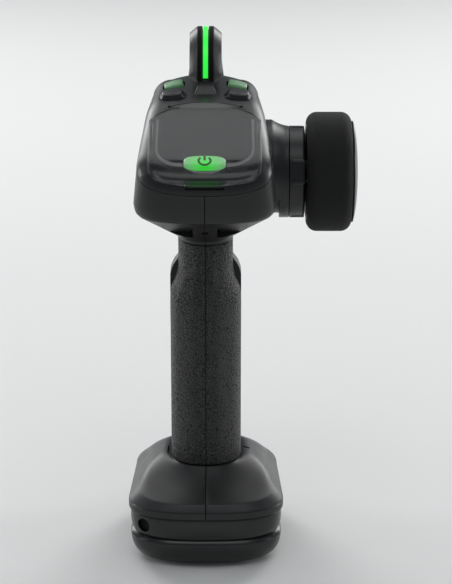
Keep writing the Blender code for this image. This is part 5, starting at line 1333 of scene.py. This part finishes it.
def loopCorners(half, lane, slotShare):
    slot, floor = loop["light"] / 2 + fits["fit"], (loop["lightDepth"] + fits["fit"]) * slotShare
    edge, thick = loop["edge"], loop["thick"]
    cut = min(loop["chamfer"], half - lane)
    right = [
        (slot, floor), (slot, edge * slotShare), (slot + edge * 0.3, edge * 0.3 * slotShare), (slot + edge, 0.0),
        (lane - edge, edge * 0.05), (lane, edge * 0.2), (lane + edge * 0.7, edge * 0.7),
        (half - edge * 0.7, cut - edge * 0.7), (half - edge * 0.2, cut), (half, cut + edge),
        (half, thick - edge * 4), (half - edge, thick - edge * 1.2), (half - edge * 4, thick),
    ]
    return right + [(-x, depth) for x, depth in reversed(right)]


def makeLoop():
    rings = []
    for angle in spread(-loopTurn["past"], math.pi + loopTurn["past"], 161):
        rear = eased01((loopTurn["taper"] - angle) / loopTurn["taperRun"])
        front = eased01((angle - math.pi + loopTurn["flareRun"]) / loopTurn["flareRun"])
        foot = loop["footFlare"] * eased01((loopTurn["foot"] - angle) / loopTurn["footRun"])
        half = loop["width"] / 2 - loop["footTaper"] * rear + loop["flare"] * front + foot
        lane = min(loop["lane"] + foot, half - loop["edge"])
        slotShare = 1.0 if angle > loopTurn["slot"] else closedSlot
        rings += loopRings([angle], loopCorners(half, lane, slotShare))
    dressed(loft("loop_arch", rings), "case", "satin", "hard_black", "carry_loop", angle=26.0)
    half, depth, edge = loop["light"] / 2, loop["lightDepth"], loop["edge"]
    near, past = half + fits["fit"] + edge, loop["lane"] - edge
    corners = [(near, edge), (near, -loop["shadeSheet"]), (past, -loop["shadeSheet"]), (past, edge)]
    # a thin extra-dark sheet over the lane beside the light, painted shade
    for shadeSheet in loftPair("loop_shade_sheet", loopRings(spread(loopTurn["shadeSheet"], loopTurn["end"], 61), corners)):
        dressed(shadeSheet, "case", "socket", "hard_black")
    corners = [(half, depth), (half, edge), (half - edge, 0.0), (-half + edge, 0.0), (-half, edge), (-half, depth)]
    light = loft("loop_glow", loopRings(spread(loopTurn["light"], loopTurn["end"], 61), corners))
    glowAt = (0.0, loop["y"], loop["glowZ"])
    finish = litPlastic("litLoop", loop["core"], loop["rim"], glowAt, loop["glowReach"], loop["glow"])
    dressed(light, "case", finish, "lit_green", "loop_light")


makeLoop()
print("carry loop made")


# steering wheel
def arcPoints(centreR, centreX, radius, start, end, steps=6):
    points = []
    for step in range(steps + 1):
        angle = math.radians(start + (end - start) * step / steps)
        points.append((centreR + radius * math.sin(angle), centreX + radius * math.cos(angle)))
    return points


def mountSwell(radius, along, angle):
    if radius < wheel["mountNeck"]:
        return 0.0
    share = clamped((wheel["mountEnd"] - along) / wheel["mountSweep"])
    around = eased01((math.cos(angle) + wheel["flareSide"]) / wheel["flareTurn"])
    return wheel["mountFlare"] * share ** wheel["flareBend"] * around


def makeMount():
    end, face, seat, radius = wheel["mountEnd"], wheel["mountFace"], wheel["mountSeat"], wheel["mountRadius"]
    ease, hole = fits["ease"], wheel["bearing"] + fits["ease"]
    profile = [(hole, end), (radius - ease, end), (radius - ease / 4, end - ease / 4)]
    profile += [(radius, along) for along in spread(end - ease, seat, 18)] + [(hole, seat)]
    mount = turned("wheel_boss", profile, swell=mountSwell)
    low = seat - underCut["in"], underCut["rear"], underCut["low"]
    high = face - underCut["gap"], underCut["front"], head["lowZ"] + underCut["over"]
    changed(mount, [boxBetween("underCut", low, high)])
    stops = wheel["mountStart"], face, wheel["boreStart"], wheel["boreEnd"]
    axle = [(along, wheel["y"], wheel["z"]) for along in stops]
    changed(mount, [rodBetween("neckAdd", axle[0], axle[1], wheel["mountNeck"], 72)], "UNION")
    changed(mount, [rodBetween("boreCut", axle[2], axle[3], hole, 48)])
    dressed(mount, "case", "hard", "hard_black", "wheel_mount")


def makeHousing():
    start, last, radius = wheel["mountEnd"] + fits["fit"], wheel["housingEnd"], wheel["housingRadius"]
    bore, lip = wheel["bearing"] + fits["wall"], wheel["lip"]
    size, rise = wheel["housingRound"], wheel["padRise"]
    profile = [(bore, last), (radius - size - fits["slide"], last)]
    profile += arcPoints(radius - size, last - size, size, 0, 90)[1:]
    profile += [(radius, start + lip), (radius - lip, start), (bore, start)]
    housing = turned("wheel_collar", profile)
    outline = rounded(wheel["padLength"] - fits["fit"], wheel["padWidth"], wheel["padCorner"], 8)
    middle = start + wheel["padLength"] / 2 + fits["turn"]
    for index in range(4):
        turn = Matrix.Rotation(math.radians(wheel["padTurn"] + 90 * index), 4, "X")
        turn = Matrix.Translation((0.0, wheel["y"], wheel["z"])) @ turn
        rings = []
        for height, share in ((-wheel["padRoot"], 1.0), *((rise * up, share) for up, share in padSteps)):
            ring = []
            for x, y in outline:
                angle = y * share / radius
                out = Vector((0.0, math.sin(angle), math.cos(angle))) * (radius + height)
                ring.append(turn @ (out + Vector((middle + x * share, 0.0, 0.0))))
            rings.append(ring)
        changed(housing, [loft("padAdd", rings)], "UNION")
    dressed(housing, "case", "hard", "hard_black", "wheel_housing")


def makeWheel():
    inner, size, ease, webEase = wheel["inner"], wheel["round"], wheel["ease"], wheel["webEase"]
    out = inner + wheel["width"]
    profile = [(wheel["bore"], out)]
    profile += arcPoints(wheel["radius"] - size, out - size, size, 0, 90, 10)
    profile += arcPoints(wheel["radius"] - size, inner + size, size, 90, 180, 10)
    tyre = turned("foam_ring", profile + [(wheel["bore"], inner)], 128)
    dressed(tyre, "wheel", "foam", "foam", "wheel_tyre", angle=60.0)
    rim, wall = wheel["bore"] - fits["fit"], wheel["rimWall"]
    web, low, thin = out - wheel["width"] * wheel["webShare"], wheel["housingEnd"] + fits["fit"], rim - wall
    hub, shaft = wheel["shaft"] + fits["wall"], wheel["shaft"] + fits["fit"] / 2
    profile = [
        (rim, out), (rim, inner + ease), (rim - ease, inner), (thin + ease, inner), (thin, inner + ease),
        (thin, web - webEase), (thin - webEase, web), (hub + webEase, web), (hub, web - webEase), (hub, low),
        (shaft, low), (shaft, web + wall), (thin, web + wall), (thin, out),
    ]
    dressed(turned("rim_drum", profile), "wheel", "satin", "hard_black", "wheel_rim")
    start, rise, big, plug = out + fits["fit"], wheel["capRise"], wheel["capRadius"], thin - fits["fit"]
    profile = [(0.0, start + rise)]
    for share in capStops:
        profile.append((big * share, start + rise * (1 - wheel["capFall"] * share**3)))
    profile += [(big, start + ease), (big - fits["ease"], start), (plug, start)]
    profile += [(plug, start - fits["wall"]), (0.0, start - fits["wall"])]
    dressed(turned("rim_cap", profile), "wheel", "satin", "hard_black", "wheel_cap", angle=45.0)


makeMount()
makeHousing()
makeWheel()
print("wheel made")


# trigger
def ovalPoints(midY, midZ, halfY, halfZ, angles):
    return [(midY + halfY * math.cos(angle), midZ + halfZ * math.sin(angle)) for angle in angles]


def makeTrigger():
    y, z, hub, half, band = trigger["y"], trigger["z"], trigger["hub"], trigger["width"] / 2, trigger["band"]
    ring = trigger["ringY"], trigger["ringZ"]
    outline = ovalPoints(y, z, hub, hub, spread(0.0, math.pi, 25))
    angles = spread(math.radians(trigger["ringStart"]), math.radians(trigger["ringEnd"]), 81)
    outline += ovalPoints(*ring, trigger["halfY"], trigger["halfZ"], angles)
    lever = prism("trigger_ring", outline, "X", -half, half)
    hole = ovalPoints(*ring, trigger["halfY"] - band, trigger["halfZ"] - band, fullTurn(72))
    changed(lever, [prism("fingerCut", hole, "X", -far / 2, far / 2)])
    eased(lever, trigger["ease"], segments=3, angle=50.0)
    pin = rodBetween("pinCut", (-far / 2, y, z), (far / 2, y, z), trigger["pin"])
    low, high = (half - fits["wall"], -far, z - trigger["seatDrop"]), (far / 2, far, z + far / 2)
    changed(lever, [pin, boxBetween("seatCut", low, high)])
    dressed(lever, "trigger", "hard", "hard_black", "trigger")


makeTrigger()
print("trigger made")

# finishes of the solids that stay
kept = {
    "steel": (
        "case_screw_low", "case_screw_high", "case_screw_nose", "base_screw_1", "base_screw_2", "base_screw_3",
        "base_screw_4", "wheel_bearing_inner", "wheel_bearing_outer", "wheel_spring",
        "wheel_shaft", "wheel_magnet", "trigger_pin", "trigger_spring",
    ),
    "board": ("main_board", "button_board", "wheel_sensor", "trigger_sensor"),
    "cell": ("battery_cell_left", "battery_cell_right"),
    "rubber": ("foot_pad",),
    "display": ("display_panel",),
    "hard": (
        # cover_hinge_pin gets the black plastic finish rather than steel, painted shade so the pin reads dark in the
        # hinge gap
        "battery_holder", "cover_hinge_pin", "power_switch", "lit_switch_left", "lit_switch_right",
        "oval_switch_left", "oval_switch_right",
    ),
}
for finish, names in kept.items():
    for name in names:
        mesh = cadNodes[name].data
        mesh.materials.clear()
        mesh.materials.append(finishes[finish])
print("kept solids painted")
